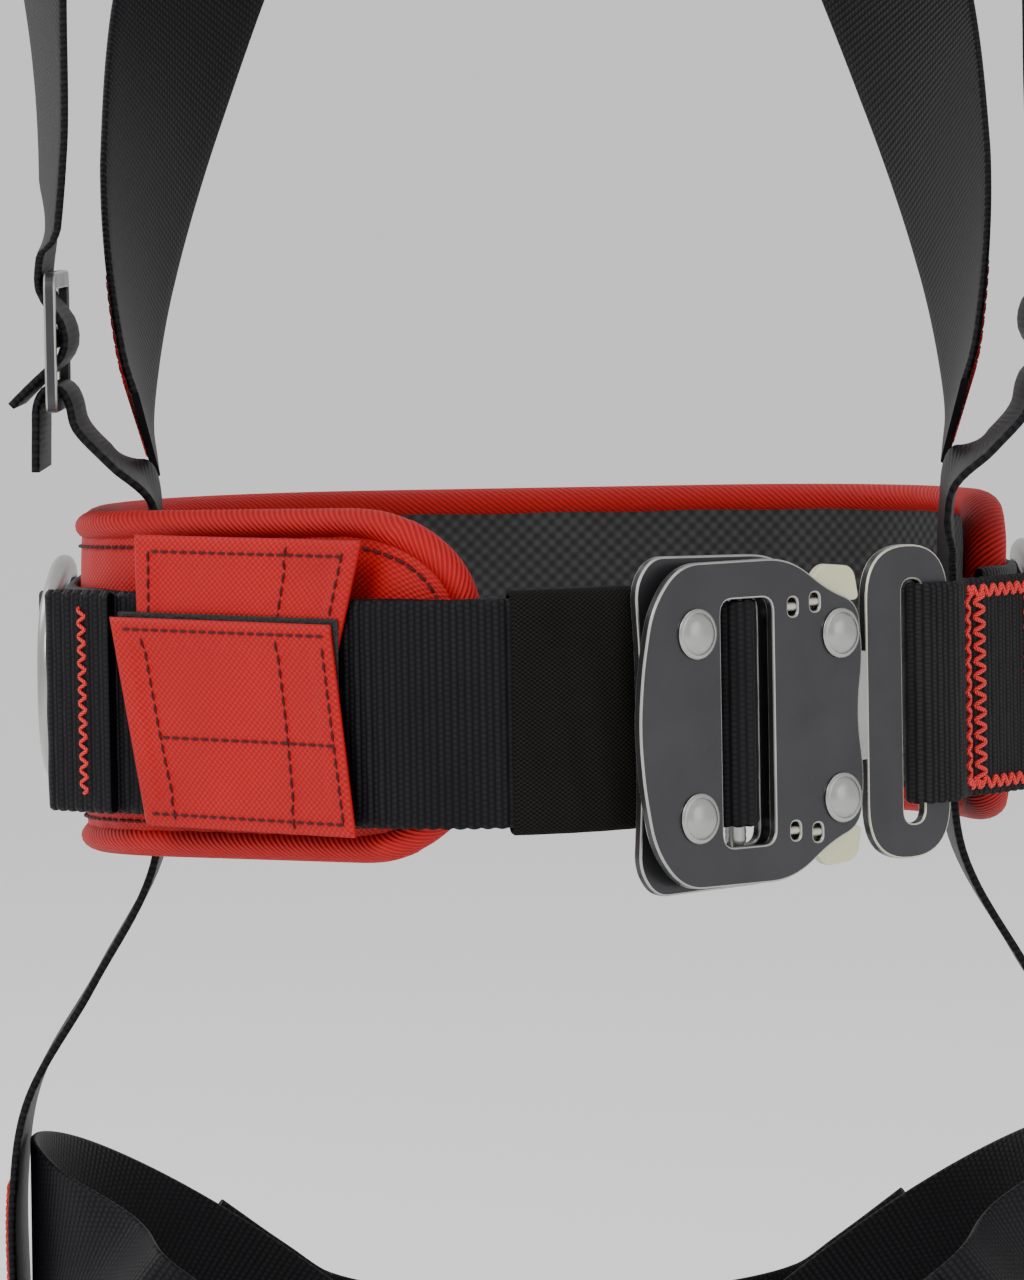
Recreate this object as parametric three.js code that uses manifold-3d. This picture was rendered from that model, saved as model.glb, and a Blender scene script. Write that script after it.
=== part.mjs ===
// Full-body safety harness in its worn shape, in millimetres, +Z up.
// The wearer faces -Y and the wearer's right is -X. The origin is the middle of the waist, at belt mid-height.
import * as THREE from 'three';
import Module from 'manifold-3d';
import { mergeVertices } from 'three/addons/utils/BufferGeometryUtils.js';

const wasm = await Module();
wasm.setup();

// ---- Driving dimensions ----
const GAP = 0.4;                    // clearance between neighbouring solids
const BELT_WIDTH = 45;
const BELT_THICK = 2;
const STRAP_WIDTH = 44;
const STRAP_THICK = 1.6;
const NOSE = [-17, -97];            // foremost point of the belt's outer face
const FRONT_TURN = 41;              // the buckle faces this far to the wearer's left
const SIDE_TURN = 43;               // the flap stretch faces this far to the wearer's right
const TAIL_TURN = 13;               // extra turn of the belt behind the tab
const CHORD = 78;                   // straight stretch that carries the buckle
const FLAP_CHORD = 59;              // straight stretch under the flaps
const TAIL_FREE = 23;               // the tail's folded end runs on straight past the flaps
const MAIN_DEPTH = BELT_THICK + GAP;        // main belt layer under the tail layer
const PAD_DEPTH = MAIN_DEPTH + BELT_THICK + GAP;
const PAD_THICK = 8;
const PAD_HEIGHT = 70;
const PAD_RISE_FRONT = 5;
const PAD_RISE_SIDE = 2;

const PLATE_THICK = 2;
const PLATE_INNER = 1.4;            // half the space between the two buckle plates
const BUCKLE_START = -7.4;          // buckle's left edge before the start of the chord
const BUCKLE_STAND = 5.8;           // buckle mid-plane in front of the belt's outer face
const BUCKLE_RISE = -3.8;
const WINDOW = { from: 21.3, to: 35.2, half: 24.4, round: 3 };
const RIVETS = [[14.8, 18.1], [14.8, -18.1], [53.4, 16.4], [53.4, -16.4]];
const BAR = { u: 28.3, n: -1, radius: 2.2, half: 27.5 };
const WRAP_RADIUS = BAR.radius + GAP + BELT_THICK / 2;
const WRAP_DROP = -2;
const TAB = { centre: 74.2, half: 11.5, height: 31.6, slotFrom: 72.6, slotTo: 78.5, slotHalf: 24.6, rise: 1.4 };
const TAB_THICK = 2.2;
const TONGUE = { from: 42.5, half: 11 };
const LEVER_THICK = 2;
const SPRING_RADIUS = 1.1;
const KEEPER = { from: 9, to: 40.5, wall: 1.4, half: 23.9 };

const RING_BAR_RADIUS = 3;
const RING_THICK = 5;
const HIP_RING = { width: 52, depth: 42, bow: 15 };
const DORSAL_RING = { width: 60, depth: 58, bow: 22 };

const DEG = Math.PI / 180;
const colours = { webbing: 0x28262a, red: 0xd62a2c, plate: 0x454547, steel: 0xb9b9b6, zinc: 0xd9d9b4,
  elastic: 0x23211e, plastic: 0x1f1f20 };
const harness = new THREE.Group();

/** Adds a geometry to a group as a named mesh with its own material. */
function part(name, geometry, colour, { metal = 0, rough = 0.8, into = harness } = {}) {
  const material = new THREE.MeshStandardMaterial({ color: colour, metalness: metal, roughness: rough });
  const mesh = new THREE.Mesh(geometry, material);
  mesh.name = name;
  into.add(mesh);
  return mesh;
}

// ---- Solids ----
function solid(geometry) {
  const bare = geometry.clone();
  bare.deleteAttribute('normal');
  bare.deleteAttribute('uv');
  const merged = mergeVertices(bare, 1e-4);
  return new wasm.Manifold(new wasm.Mesh({ numProp: 3,
    vertProperties: new Float32Array(merged.attributes.position.array),
    triVerts: new Uint32Array(merged.index.array) }));
}

function fromSolid(body) {
  const mesh = body.getMesh();
  const geometry = new THREE.BufferGeometry();
  geometry.setAttribute('position', new THREE.BufferAttribute(new Float32Array(mesh.vertProperties), 3));
  geometry.setIndex(new THREE.BufferAttribute(new Uint32Array(mesh.triVerts), 1));
  return geometry;
}

/** Adds the first geometry to the second ones. */
const join = (first, ...others) => fromSolid(others.reduce((sum, next) => sum.add(solid(next)), solid(first)));

/** A flat plate standing in the X-Z plane: outline in (x, z), thickness between two Y values. */
function plateXZ(shape, low, high, curveSegments = 6) {
  const geometry = new THREE.ExtrudeGeometry(shape, { depth: high - low, bevelEnabled: false, curveSegments });
  geometry.rotateX(Math.PI / 2);    // outline's y becomes +Z, depth runs toward -Y
  geometry.translate(0, high, 0);
  return geometry;
}

/** A closed path with rounded corners through [x, y, radius] points. */
function roundedPath(points, Kind = THREE.Shape) {
  const path = new Kind();
  const count = points.length;
  points.forEach(([x, y, radius], index) => {
    const before = points[(index + count - 1) % count];
    const after = points[(index + 1) % count];
    const corner = new THREE.Vector2(x, y);
    const back = new THREE.Vector2(before[0], before[1]).sub(corner);
    const ahead = new THREE.Vector2(after[0], after[1]).sub(corner);
    const reach = Math.min(radius, 0.49 * back.length(), 0.49 * ahead.length());
    back.normalize().multiplyScalar(reach);
    ahead.normalize().multiplyScalar(reach);
    const start = corner.clone().add(back);
    const end = corner.clone().add(ahead);
    if (index === 0) path.moveTo(start.x, start.y);
    else path.lineTo(start.x, start.y);
    if (radius > 0) path.quadraticCurveTo(x, y, end.x, end.y);
  });
  path.closePath();
  return path;
}

const box = (x0, x1, y0, y1, radius, Kind = THREE.Shape) =>
  roundedPath([[x0, y0, radius], [x1, y0, radius], [x1, y1, radius], [x0, y1, radius]], Kind);

/** A box-section band along points; the width direction is given for each point. */
function ribbon(points, widthDirs, width, thickness) {
  const count = points.length;
  const vertices = [];
  points.forEach((point, index) => {
    const before = points[Math.max(index - 1, 0)];
    const after = points[Math.min(index + 1, count - 1)];
    const along = after.clone().sub(before).normalize();
    const wide = widthDirs[index].clone();
    wide.addScaledVector(along, -wide.dot(along)).normalize();
    const out = along.clone().cross(wide);
    for (const [w, n] of [[-1, -1], [1, -1], [1, 1], [-1, 1]]) {
      vertices.push(...point.clone().addScaledVector(wide, w * width / 2)
        .addScaledVector(out, n * thickness / 2).toArray());
    }
  });
  return skinned(vertices);
}

/** Closes four-cornered rings into a solid; the two broad faces share one diagonal, so a twist keeps its thickness. */
function skinned(vertices) {
  const faces = [];
  const last = vertices.length / 3 - 4;
  for (let ring = 0; ring < last; ring += 4) {
    for (let side = 0; side < 4; side += 1) {
      const a = ring + side;
      const b = ring + (side + 1) % 4;
      if (side === 2) faces.push(a, b, a + 4, b, b + 4, a + 4);
      else faces.push(a, b, b + 4, a, b + 4, a + 4);
    }
  }
  faces.push(0, 2, 1, 0, 3, 2, last, last + 1, last + 2, last, last + 2, last + 3);
  const geometry = new THREE.BufferGeometry();
  geometry.setAttribute('position', new THREE.Float32BufferAttribute(vertices, 3));
  geometry.setIndex(faces);
  return geometry;
}

// ---- The belt's plan path ----
/** Walks straight runs and arcs from a start point; returns samples {x, y, heading}. */
function walk([x, y], headingDeg, legs) {
  const samples = [{ x, y, heading: headingDeg * DEG }];
  let heading = headingDeg * DEG;
  for (const { run = 0, radius = 0, turn = 0 } of legs) {
    const steps = turn ? Math.max(2, Math.ceil(Math.abs(turn) / 7)) : 2;
    for (let step = 0; step < steps; step += 1) {
      const angle = turn * DEG / steps;
      const length = turn ? 2 * radius * Math.sin(Math.abs(angle) / 2) : run / steps;
      x += length * Math.cos(heading + angle / 2);
      y += length * Math.sin(heading + angle / 2);
      heading += angle;
      samples.push({ x, y, heading });
    }
  }
  return samples;
}

/** Moves samples sideways: positive is to the left of the heading. */
const shifted = (samples, left, z = 0) => samples.map(({ x, y, heading }) =>
  new THREE.Vector3(x - left * Math.sin(heading), y + left * Math.cos(heading), z));

const leftLegs = [{ radius: 35, turn: -SIDE_TURN }, { run: FLAP_CHORD }, { radius: 58, turn: SIDE_TURN - 90 },
  { run: 26.4 }, { radius: 65, turn: -90 }, { run: 71.5 }, { radius: 65, turn: -90 }, { run: 5 },
  { radius: 47, turn: -36 }];
const aroundLeft = walk(NOSE, 180, leftLegs);               // from the nose, by the right hip and the back
const toBuckle = walk(NOSE, 0, [{ radius: 50, turn: FRONT_TURN }]);
const chordStart = toBuckle[toBuckle.length - 1];
const up = new THREE.Vector3(0, 0, 1);
const upright = (points) => points.map(() => up.clone());

// ---- Buckle frame: u along the chord, n out of the face, z up ----
const buckle = new THREE.Group();
buckle.rotation.z = FRONT_TURN * DEG;
buckle.position.set(
  chordStart.x + BUCKLE_START * Math.cos(FRONT_TURN * DEG) + BUCKLE_STAND * Math.sin(FRONT_TURN * DEG),
  chordStart.y + BUCKLE_START * Math.sin(FRONT_TURN * DEG) - BUCKLE_STAND * Math.cos(FRONT_TURN * DEG),
  BUCKLE_RISE);
buckle.updateMatrixWorld(true);
harness.add(buckle);
const atBuckle = (u, n, z = -BUCKLE_RISE) => buckle.localToWorld(new THREE.Vector3(u, -n, z));

const frontOutline = [[0.6, -12, 4], [3.2, -24, 6], [10.5, -32, 9], [40, -32, 8], [50.5, -25.2, 5], [58.5, -22.4, 5],
  [59.6, -12, 4], [57.8, 0, 8], [59.6, 12, 4], [58.5, 22.4, 5], [50.5, 25.2, 5], [40, 32, 8], [10.5, 32, 9],
  [3.2, 24, 6], [0.6, 12, 4], [-0.6, 0, 10]];
const backOutline = [[4.2, -14, 4], [3.2, -28, 7], [7.5, -33.4, 6], [40, -32.6, 8], [50.5, -25.6, 5], [58.5, -22, 5],
  [59.2, -12, 4], [57.8, 0, 8], [59.2, 12, 4], [58.5, 22, 5], [50.5, 25.6, 5], [40, 32.6, 8], [7.5, 33.4, 6],
  [3.2, 28, 7], [4.2, 14, 4]];
const RIVET_SHAFT = 2.4;
const RIVET_HEAD = { radius: 5, height: 2.3 };

/** One buckle plate with its webbing window, rivet holes and, on the front, four small slots. */
function plate(outline, low, high, withSlots) {
  const shape = roundedPath(outline);
  shape.holes.push(box(WINDOW.from, WINDOW.to, -WINDOW.half, WINDOW.half, WINDOW.round, THREE.Path));
  for (const [u, z] of RIVETS) {
    const hole = new THREE.Path();
    hole.absarc(u, z, RIVET_SHAFT + GAP / 2, 0, 2 * Math.PI, true);
    shape.holes.push(hole);
  }
  if (withSlots) {
    for (const side of [-1, 1]) {
      for (const [u, z] of [[40.6, 22.2], [46.6, 22.9]]) {
        shape.holes.push(box(u - 1.25, u + 1.25, side * z - 1.8, side * z + 1.8, 0.8, THREE.Path));
      }
    }
  }
  return plateXZ(shape, -high, -low, 4);
}

part('buckle_front_plate', plate(frontOutline, PLATE_INNER, PLATE_INNER + PLATE_THICK, true), colours.plate,
  { metal: 0.7, rough: 0.35, into: buckle });
const springStop = new THREE.BoxGeometry(2.4, 2.5, 3.2);
springStop.translate(40, 0.35, 0);
const backPlate = plate(backOutline, -PLATE_INNER - PLATE_THICK, -PLATE_INNER, false);
part('buckle_back_plate', join(backPlate, springStop), colours.plate, { metal: 0.7, rough: 0.35, into: buckle });

/** A rivet: domed head in front, shaft through both plates, flat head behind. */
function rivet(u, z) {
  const face = PLATE_INNER + PLATE_THICK;
  const { radius, height } = RIVET_HEAD;
  const dome = Array.from({ length: 4 }, (_, step) => {
    const angle = step / 3 * Math.PI / 2;
    return new THREE.Vector2(radius * Math.cos(angle), face + GAP / 2 + 0.4 + (height - 0.4) * Math.sin(angle));
  });
  dome[3].x = 0;
  const profile = [new THREE.Vector2(0, -face - 1.2), new THREE.Vector2(4, -face - 1.2),
    new THREE.Vector2(4, -face - GAP / 2), new THREE.Vector2(RIVET_SHAFT, -face - GAP / 2),
    new THREE.Vector2(RIVET_SHAFT, face + GAP / 2), new THREE.Vector2(radius, face + GAP / 2), ...dome];
  const geometry = new THREE.LatheGeometry(profile, 16);
  geometry.rotateX(Math.PI);        // the head points toward -Y, out of the face
  geometry.translate(u, 0, z);
  return geometry;
}
RIVETS.forEach(([u, z], index) =>
  part(`buckle_rivet_${index + 1}`, rivet(u, z), colours.steel, { metal: 0.9, rough: 0.3, into: buckle }));

// Round knurled bar; its flattened ends sit between the plates beyond the window.
const barBody = new THREE.CylinderGeometry(BAR.radius, BAR.radius, 2 * (WINDOW.half - 0.6), 14);
barBody.rotateX(Math.PI / 2);
barBody.translate(BAR.u, -BAR.n, 0);
const barBlade = new THREE.BoxGeometry(3, 1.8, 2 * BAR.half);
barBlade.translate(BAR.u, 0, 0);
part('adjuster_bar', join(barBody, barBlade), colours.steel, { metal: 0.8, rough: 0.4, into: buckle });

/** A release lever: finger head outside, latch leg inside, foot for its spring. */
function lever(side) {
  const outline = [[45, 14.8, 0], [50, 14.8, 0.8], [50, 22.6, 0.6], [61, 22.6, 1.5], [59.6, 29.4, 2.5], [51, 30.2, 2],
    [45, 24, 1], [45, 17.4, 0], [38.8, 17.4, 0.4], [38.8, 14.8, 0.4]];
  const points = outline.map(([u, z, r]) => [u, side * z, r]);
  return plateXZ(roundedPath(side > 0 ? points : points.reverse()), -LEVER_THICK / 2, LEVER_THICK / 2, 4);
}
/** The lever's return spring, as the outer shape of its coil. */
function spring(side) {
  const geometry = new THREE.CylinderGeometry(SPRING_RADIUS, SPRING_RADIUS, 12.2, 10);
  geometry.rotateX(Math.PI / 2);
  geometry.translate(40, 0, side * (1.8 + GAP / 2 + 6.3));
  return geometry;
}
for (const [word, side] of [['upper', 1], ['lower', -1]]) {
  part(`release_lever_${word}`, lever(side), colours.zinc, { metal: 0.4, rough: 0.45, into: buckle });
  part(`lever_spring_${word}`, spring(side), colours.steel, { metal: 0.9, rough: 0.3, into: buckle });
}

// Male tab: an upright oblong with a webbing slot and a tongue that reaches between the plates.
const tabShape = roundedPath([[TAB.centre - TAB.half, -TAB.height, 11.4], [TAB.centre + TAB.half, -TAB.height, 11.4],
  [TAB.centre + TAB.half, TAB.height, 11.4], [TAB.centre - TAB.half, TAB.height, 11.4]]);
tabShape.holes.push(box(TAB.slotFrom, TAB.slotTo, -TAB.slotHalf, TAB.slotHalf, 2.9, THREE.Path));
const tongue = box(TONGUE.from, TAB.centre - TAB.half + 3, -TONGUE.half, TONGUE.half, 3);
const tabPlate = join(plateXZ(tabShape, -TAB_THICK / 2, TAB_THICK / 2, 6), plateXZ(tongue, -TAB_THICK / 2, TAB_THICK / 2, 3));
tabPlate.translate(0, 0, TAB.rise);
part('male_tab', tabPlate, colours.plate, { metal: 0.7, rough: 0.35, into: buckle });

// ---- Waist webbing ----
/** An arc of plan points in the buckle frame. */
function arcPoints(u, n, radius, fromDeg, toDeg, steps, z) {
  return Array.from({ length: steps + 1 }, (_, step) => {
    const angle = (fromDeg + (toDeg - fromDeg) * step / steps) * DEG;
    return atBuckle(u + radius * Math.cos(angle), n + radius * Math.sin(angle), z - BUCKLE_RISE);
  });
}
const tailCentre = -BELT_THICK / 2;
const mainCentre = -MAIN_DEPTH - BELT_THICK / 2;
const tailFree = walk(NOSE, 180, [leftLegs[0], leftLegs[1], { run: TAIL_FREE }]);
const tailLayer = [...shifted(tailFree, tailCentre).reverse(), ...shifted(toBuckle.slice(1), -tailCentre)];
const mainN = -BUCKLE_STAND - MAIN_DEPTH - BELT_THICK / 2;
const tailN = -BUCKLE_STAND - BELT_THICK / 2;
const wrap = [
  atBuckle(12, tailN, -BUCKLE_RISE - 0.6), atBuckle(19.4, tailN + 0.2, -BUCKLE_RISE - 1.4),
  atBuckle(23.6, tailN + 1.6, -BUCKLE_RISE + WRAP_DROP),
  ...arcPoints(BAR.u, BAR.n, WRAP_RADIUS, 195, -10, 9, WRAP_DROP),
  atBuckle(31.2, tailN + 0.6, -BUCKLE_RISE + WRAP_DROP), atBuckle(28.2, mainN + 0.7, -BUCKLE_RISE + WRAP_DROP),
  atBuckle(23, mainN, -BUCKLE_RISE - 1.4), atBuckle(14, mainN, -BUCKLE_RISE - 0.6)];
const mainFront = shifted(toBuckle.slice(1), -mainCentre).reverse();
const mainAround = shifted(aroundLeft, mainCentre);
const beltRoute = [...tailLayer, ...wrap, ...mainFront, ...mainAround];
part('belt_webbing', ribbon(beltRoute, upright(beltRoute), BELT_WIDTH - 0.6, BELT_THICK), colours.webbing);

// Tab webbing: through the tab's slot, over its rim and lapped back along the belt.
const LAP_RUN = 24;
const lapTurn = walk([0, 0], 0, [{ run: 3 }, { radius: 16, turn: TAIL_TURN }, { run: LAP_RUN - 4 }]);
const lap = shifted(lapTurn, 0).map((point) => atBuckle(96 + point.x, tailN - point.y + 2.6, -BUCKLE_RISE - 0.9));
const loopPoints = [atBuckle(88.5, -4.4, -BUCKLE_RISE - 0.9), atBuckle(85, -3.2, -BUCKLE_RISE - 0.9),
  atBuckle(80, -2.8, -BUCKLE_RISE - 0.9), atBuckle(77.4, -2, -BUCKLE_RISE - 0.9),
  atBuckle(76.3, 0, -BUCKLE_RISE - 0.9), atBuckle(77.4, 2, -BUCKLE_RISE - 0.9),
  atBuckle(80, 2.8, -BUCKLE_RISE - 0.9), atBuckle(85.4, 2.9, -BUCKLE_RISE - 0.9),
  atBuckle(88.6, 0.9, -BUCKLE_RISE - 0.9), atBuckle(92, -2, -BUCKLE_RISE - 0.9)];
const tabRoute = [...loopPoints, ...lap];
part('tab_webbing', ribbon(tabRoute, upright(tabRoute), BELT_WIDTH - 1, BELT_THICK - 0.2), colours.webbing);

// Elastic keeper: a flat sleeve round both belt layers.
const keeperTurn = (from, to) => walk([NOSE[0] + 50 * Math.sin(from * DEG), NOSE[1] + 50 * (1 - Math.cos(from * DEG))], from,
  [{ radius: 50, turn: to - from }]);
const keeperPath = shifted(keeperTurn(KEEPER.from, KEEPER.to), 1.2 + MAIN_DEPTH / 2 - 0.2);
const keeperInner = MAIN_DEPTH + BELT_THICK + 2 * GAP;
const sleeve = solid(ribbon(keeperPath, upright(keeperPath), 2 * KEEPER.half, keeperInner + 2 * KEEPER.wall));
const keeperCut = shifted(keeperTurn(KEEPER.from - 4, KEEPER.to + 4), 1.2 + MAIN_DEPTH / 2 - 0.2);
const sleeveHollow = solid(ribbon(keeperCut, upright(keeperCut), BELT_WIDTH + 0.4, keeperInner));
part('elastic_keeper', fromSolid(sleeve.subtract(sleeveHollow)), colours.elastic, { rough: 0.95 });

// ---- Waist pad: a band inside the belt, with rounded ends ----
const PAD_FRONT_END = 4;            // how far past the nose the pad reaches toward the buckle
const padLegs = [...leftLegs.slice(0, 8), { radius: 47, turn: -16 }];
const padStart = walk(NOSE, 0, [{ radius: 50, turn: PAD_FRONT_END }]).reverse()
  .map(({ x, y, heading }) => ({ x, y, heading: heading + Math.PI }));
const padSamples = [...padStart, ...walk(NOSE, 180, padLegs).slice(1)];
const padCentre = -PAD_DEPTH - PAD_THICK / 2;
const padRise = (point) => THREE.MathUtils.mapLinear(THREE.MathUtils.clamp(point.y, -85, 0), -85, 0,
  PAD_RISE_FRONT, PAD_RISE_SIDE);
const padPoints = shifted(padSamples, padCentre).map((point) => point.setZ(padRise(point)));
/** A band whose ends narrow in a rounded curve. */
function padBand() {
  const lengths = [0];
  padPoints.forEach((point, index) => {
    if (index) lengths.push(lengths[index - 1] + point.distanceTo(padPoints[index - 1]));
  });
  const total = lengths[lengths.length - 1];
  const END = 26;
  const shares = [...Array.from({ length: 6 }, (_, step) => END * (1 - Math.cos(step / 6 * Math.PI / 2))),
    ...lengths.filter((length) => length > END && length < total - END)];
  shares.push(...Array.from({ length: 6 }, (_, step) => total - END * (1 - Math.sin((step + 1) / 6 * Math.PI / 2))));
  const vertices = [];
  const at = (share) => {
    let index = 1;
    while (index < lengths.length - 1 && lengths[index] < share) index += 1;
    const part01 = (share - lengths[index - 1]) / (lengths[index] - lengths[index - 1]);
    const point = padPoints[index - 1].clone().lerp(padPoints[index], part01);
    const along = padPoints[index].clone().sub(padPoints[index - 1]).setZ(0).normalize();
    return { point, out: along.cross(up) };
  };
  const sorted = [...new Set(shares)].sort((a, b) => a - b);
  sorted.forEach((share) => {
    const near = Math.min(share, total - share, END) / END;
    const half = PAD_HEIGHT / 2 * (0.38 + 0.62 * Math.sqrt(1 - (1 - near) ** 2));
    const { point, out } = at(share);
    for (const [w, n] of [[-1, -1], [1, -1], [1, 1], [-1, 1]]) {
      vertices.push(...point.clone().addScaledVector(up, w * half).addScaledVector(out, n * PAD_THICK / 2).toArray());
    }
  });
  return skinned(vertices);
}
part('waist_pad', padBand(), colours.red, { rough: 0.85 });

// ---- Flap pair: t along the side chord, o outward, z up ----
const flaps = new THREE.Group();
const flapOrigin = walk(NOSE, 180, [leftLegs[0]]).at(-1);
flaps.position.set(flapOrigin.x, flapOrigin.y, 0);
flaps.rotation.z = (180 - SIDE_TURN) * DEG;
harness.add(flaps);
const FLAP_THICK = 1.6;
const upperFlap = roundedPath([[-4, -6, 3], [56.5, -6, 3], [56.5, 34, 1], [-4, 34, 1]]);
part('flap_upper', plateXZ(upperFlap, GAP, GAP + FLAP_THICK, 3), colours.red, { rough: 0.85, into: flaps });
const lowerFlap = roundedPath([[-4, -24, 1], [54, -24, 1], [64, 17.5, 2], [-2.5, 17.5, 2]]);
part('flap_lower', plateXZ(lowerFlap, 2 * GAP + FLAP_THICK, 2 * GAP + 2 * FLAP_THICK, 3), colours.red,
  { rough: 0.85, into: flaps });

// ---- D-rings and their webbing loops: x along the bar, the bow toward -z, o = -y outward ----
/** A D-ring with a straight bar on the local X axis and its bow hanging toward -Z. */
function dRing({ width, depth, bow }) {
  const bar = RING_BAR_RADIUS;
  const outer = roundedPath([[-width / 2, bar, 3], [-width / 2, -bar - 6, 8], [-bow, -depth + bar, 14],
    [bow, -depth + bar, 14], [width / 2, -bar - 6, 8], [width / 2, bar, 3]]);
  const w = width / 2 - 6.5;
  outer.holes.push(roundedPath([[-w, -bar, 1], [-w, -bar - 5, 6], [-bow + 4, -depth + bar + 7, 10],
    [bow - 4, -depth + bar + 7, 10], [w, -bar - 5, 6], [w, -bar, 1]], THREE.Path));
  // The bow is a little thicker than the bar stretch, so its face stands clear of the webbing loop.
  const cut = (low, high) => {
    const geometry = new THREE.BoxGeometry(width + 10, 20, high - low);
    geometry.translate(0, 0, (low + high) / 2);
    return solid(geometry);
  };
  const thin = solid(plateXZ(outer, -RING_THICK / 2 + 0.4, RING_THICK / 2 - 0.4, 6)).intersect(cut(-12.5, 10));
  return fromSolid(solid(plateXZ(outer, -RING_THICK / 2, RING_THICK / 2, 6)).intersect(cut(-depth, -12)).add(thin));
}
/** Webbing folded round the ring's bar; lean points from the outgoing layer to the returning one. */
function ringLoop(name, frame, width, feet, lean) {
  const radius = Math.hypot(RING_BAR_RADIUS, RING_THICK / 2) + GAP + STRAP_THICK / 2;
  const points = feet.map(([y, z]) => new THREE.Vector3(0, y, z));
  for (let step = 0; step <= 8; step += 1) {
    const angle = step / 8 * Math.PI;
    points.push(new THREE.Vector3(0, radius * Math.cos(angle), -radius * Math.sin(angle)));
  }
  const layer = STRAP_THICK + GAP;
  points.push(new THREE.Vector3(0, -radius, 2.5), new THREE.Vector3(0, -1, 6.4));
  points.push(...feet.toReversed().map(([y, z]) => new THREE.Vector3(0, y - layer * lean[0], z + layer * lean[1])));
  const wide = points.map(() => new THREE.Vector3(1, 0, 0));
  part(name, ribbon(points, wide, width, STRAP_THICK), colours.webbing, { into: frame });
}
/** Adds a D-ring and its loop in a frame whose +Y points at the wearer. */
function ringSet(prefix, size, position, basis, loopWidth, feet, lean) {
  const frame = new THREE.Group();
  frame.position.set(...position);
  frame.quaternion.setFromRotationMatrix(basis);
  harness.add(frame);
  part(`${prefix}_d_ring`, dRing(size), colours.steel, { metal: 0.85, rough: 0.35, into: frame });
  ringLoop(`${prefix}_ring_loop`, frame, loopWidth, feet, lean);
}
/** Hip frame: bar upright, bow toward the wearer's front, +Y at the wearer. */
function hipBasis(side, swing) {
  const bow = new THREE.Vector3(side * Math.sin(swing), -Math.cos(swing), 0);
  const z = bow.clone().negate();
  const x = new THREE.Vector3(0, 0, -side);
  const y = z.clone().cross(x);
  return new THREE.Matrix4().makeBasis(x, y, z);
}
const HIP_BAR = [103.2, 47];
const hipFeet = [[18, 20], [13.6, 13.6], [8.6, 7]];
ringSet('hip_right', HIP_RING, [-HIP_BAR[0], HIP_BAR[1], 0], hipBasis(-1, 3.4 * DEG), 36, hipFeet, [0.8, 0.6]);
ringSet('hip_left', HIP_RING, [HIP_BAR[0] - 3.4, HIP_BAR[1], 0], hipBasis(1, 3.4 * DEG), 36, hipFeet, [0.8, 0.6]);

// ---- Torso straps ----
const PER_SPAN = 3;                 // samples between two route points
/** A strap on a smooth curve through hand-placed points; wideAt gives its width direction. */
function addBand(name, route, wideAt) {
  const curve = new THREE.CatmullRomCurve3(route.map((p) => new THREE.Vector3(...p)), false, 'centripetal');
  const steps = (route.length - 1) * PER_SPAN;
  const samples = curve.getPoints(steps);
  const wide = [];
  samples.forEach((point, index) => {
    const next = wideAt(point, curve.getTangent(index / steps), index).normalize();
    wide.push(index && next.dot(wide[index - 1]) < 0 ? next.negate() : next);
  });
  part(name, ribbon(samples, wide, STRAP_WIDTH, STRAP_THICK), colours.webbing);
}
const torsoCore = (point) => new THREE.Vector3(0, 5, THREE.MathUtils.clamp(point.z, 0, 300));
const mirror = (points) => points.map(([x, y, z]) => [-x, y, z]);

const ADJUSTER = { x: -101, y: -6, low: 58, high: 86.5, half: 26, thick: 2.4 };
// Shoulder strap: woven through the adjuster, up the chest, over the shoulder and across the back.
const shoulderRoute = [[-109.5, -6, 59.5], [-105.5, -6, 63.4], [-102.4, -6, 66.2], [-99.8, -6, 68.5], [-98.5, -6, 71],
  [-98.4, -6, 73.6], [-99.1, -6, 76.2], [-101, -6, 79], [-102.9, -6, 81.8], [-103.5, -6, 84.6], [-102.2, -7, 96],
  [-101, -14, 120], [-102, -34, 165], [-97, -60, 215], [-86, -78, 260], [-74, -80, 310], [-66, -66, 355], [-62, -38, 392],
  [-61, -4, 410], [-60, 30, 402], [-52, 62, 370], [-34, 86, 330], [-2, 98, 285], [34, 97, 235], [64, 84, 180],
  [80, 62, 130], [86, 38, 96], [87, 24, 76], [86.2, 15, 62], [84, 10, 52]];
const WEAVE_POINTS = 10;            // route points inside the adjuster
const OVER = 6;                     // the left strap crosses this far outside the right one
function addShoulder(name, route, lift) {
  const raised = route.map(([x, y, z]) => [x, y + lift * Math.exp(-((z - 285) ** 2) / 6000) * (y > 50 ? 1 : 0), z]);
  const woven = WEAVE_POINTS * PER_SPAN;
  addBand(name, raised, (point, along, index) => (index < woven ? new THREE.Vector3(0, 1, 0)
    : along.cross(point.clone().sub(torsoCore(point)))));
}
addShoulder('shoulder_strap_right', shoulderRoute, 0);
addShoulder('shoulder_strap_left', mirror(shoulderRoute), OVER);

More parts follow.
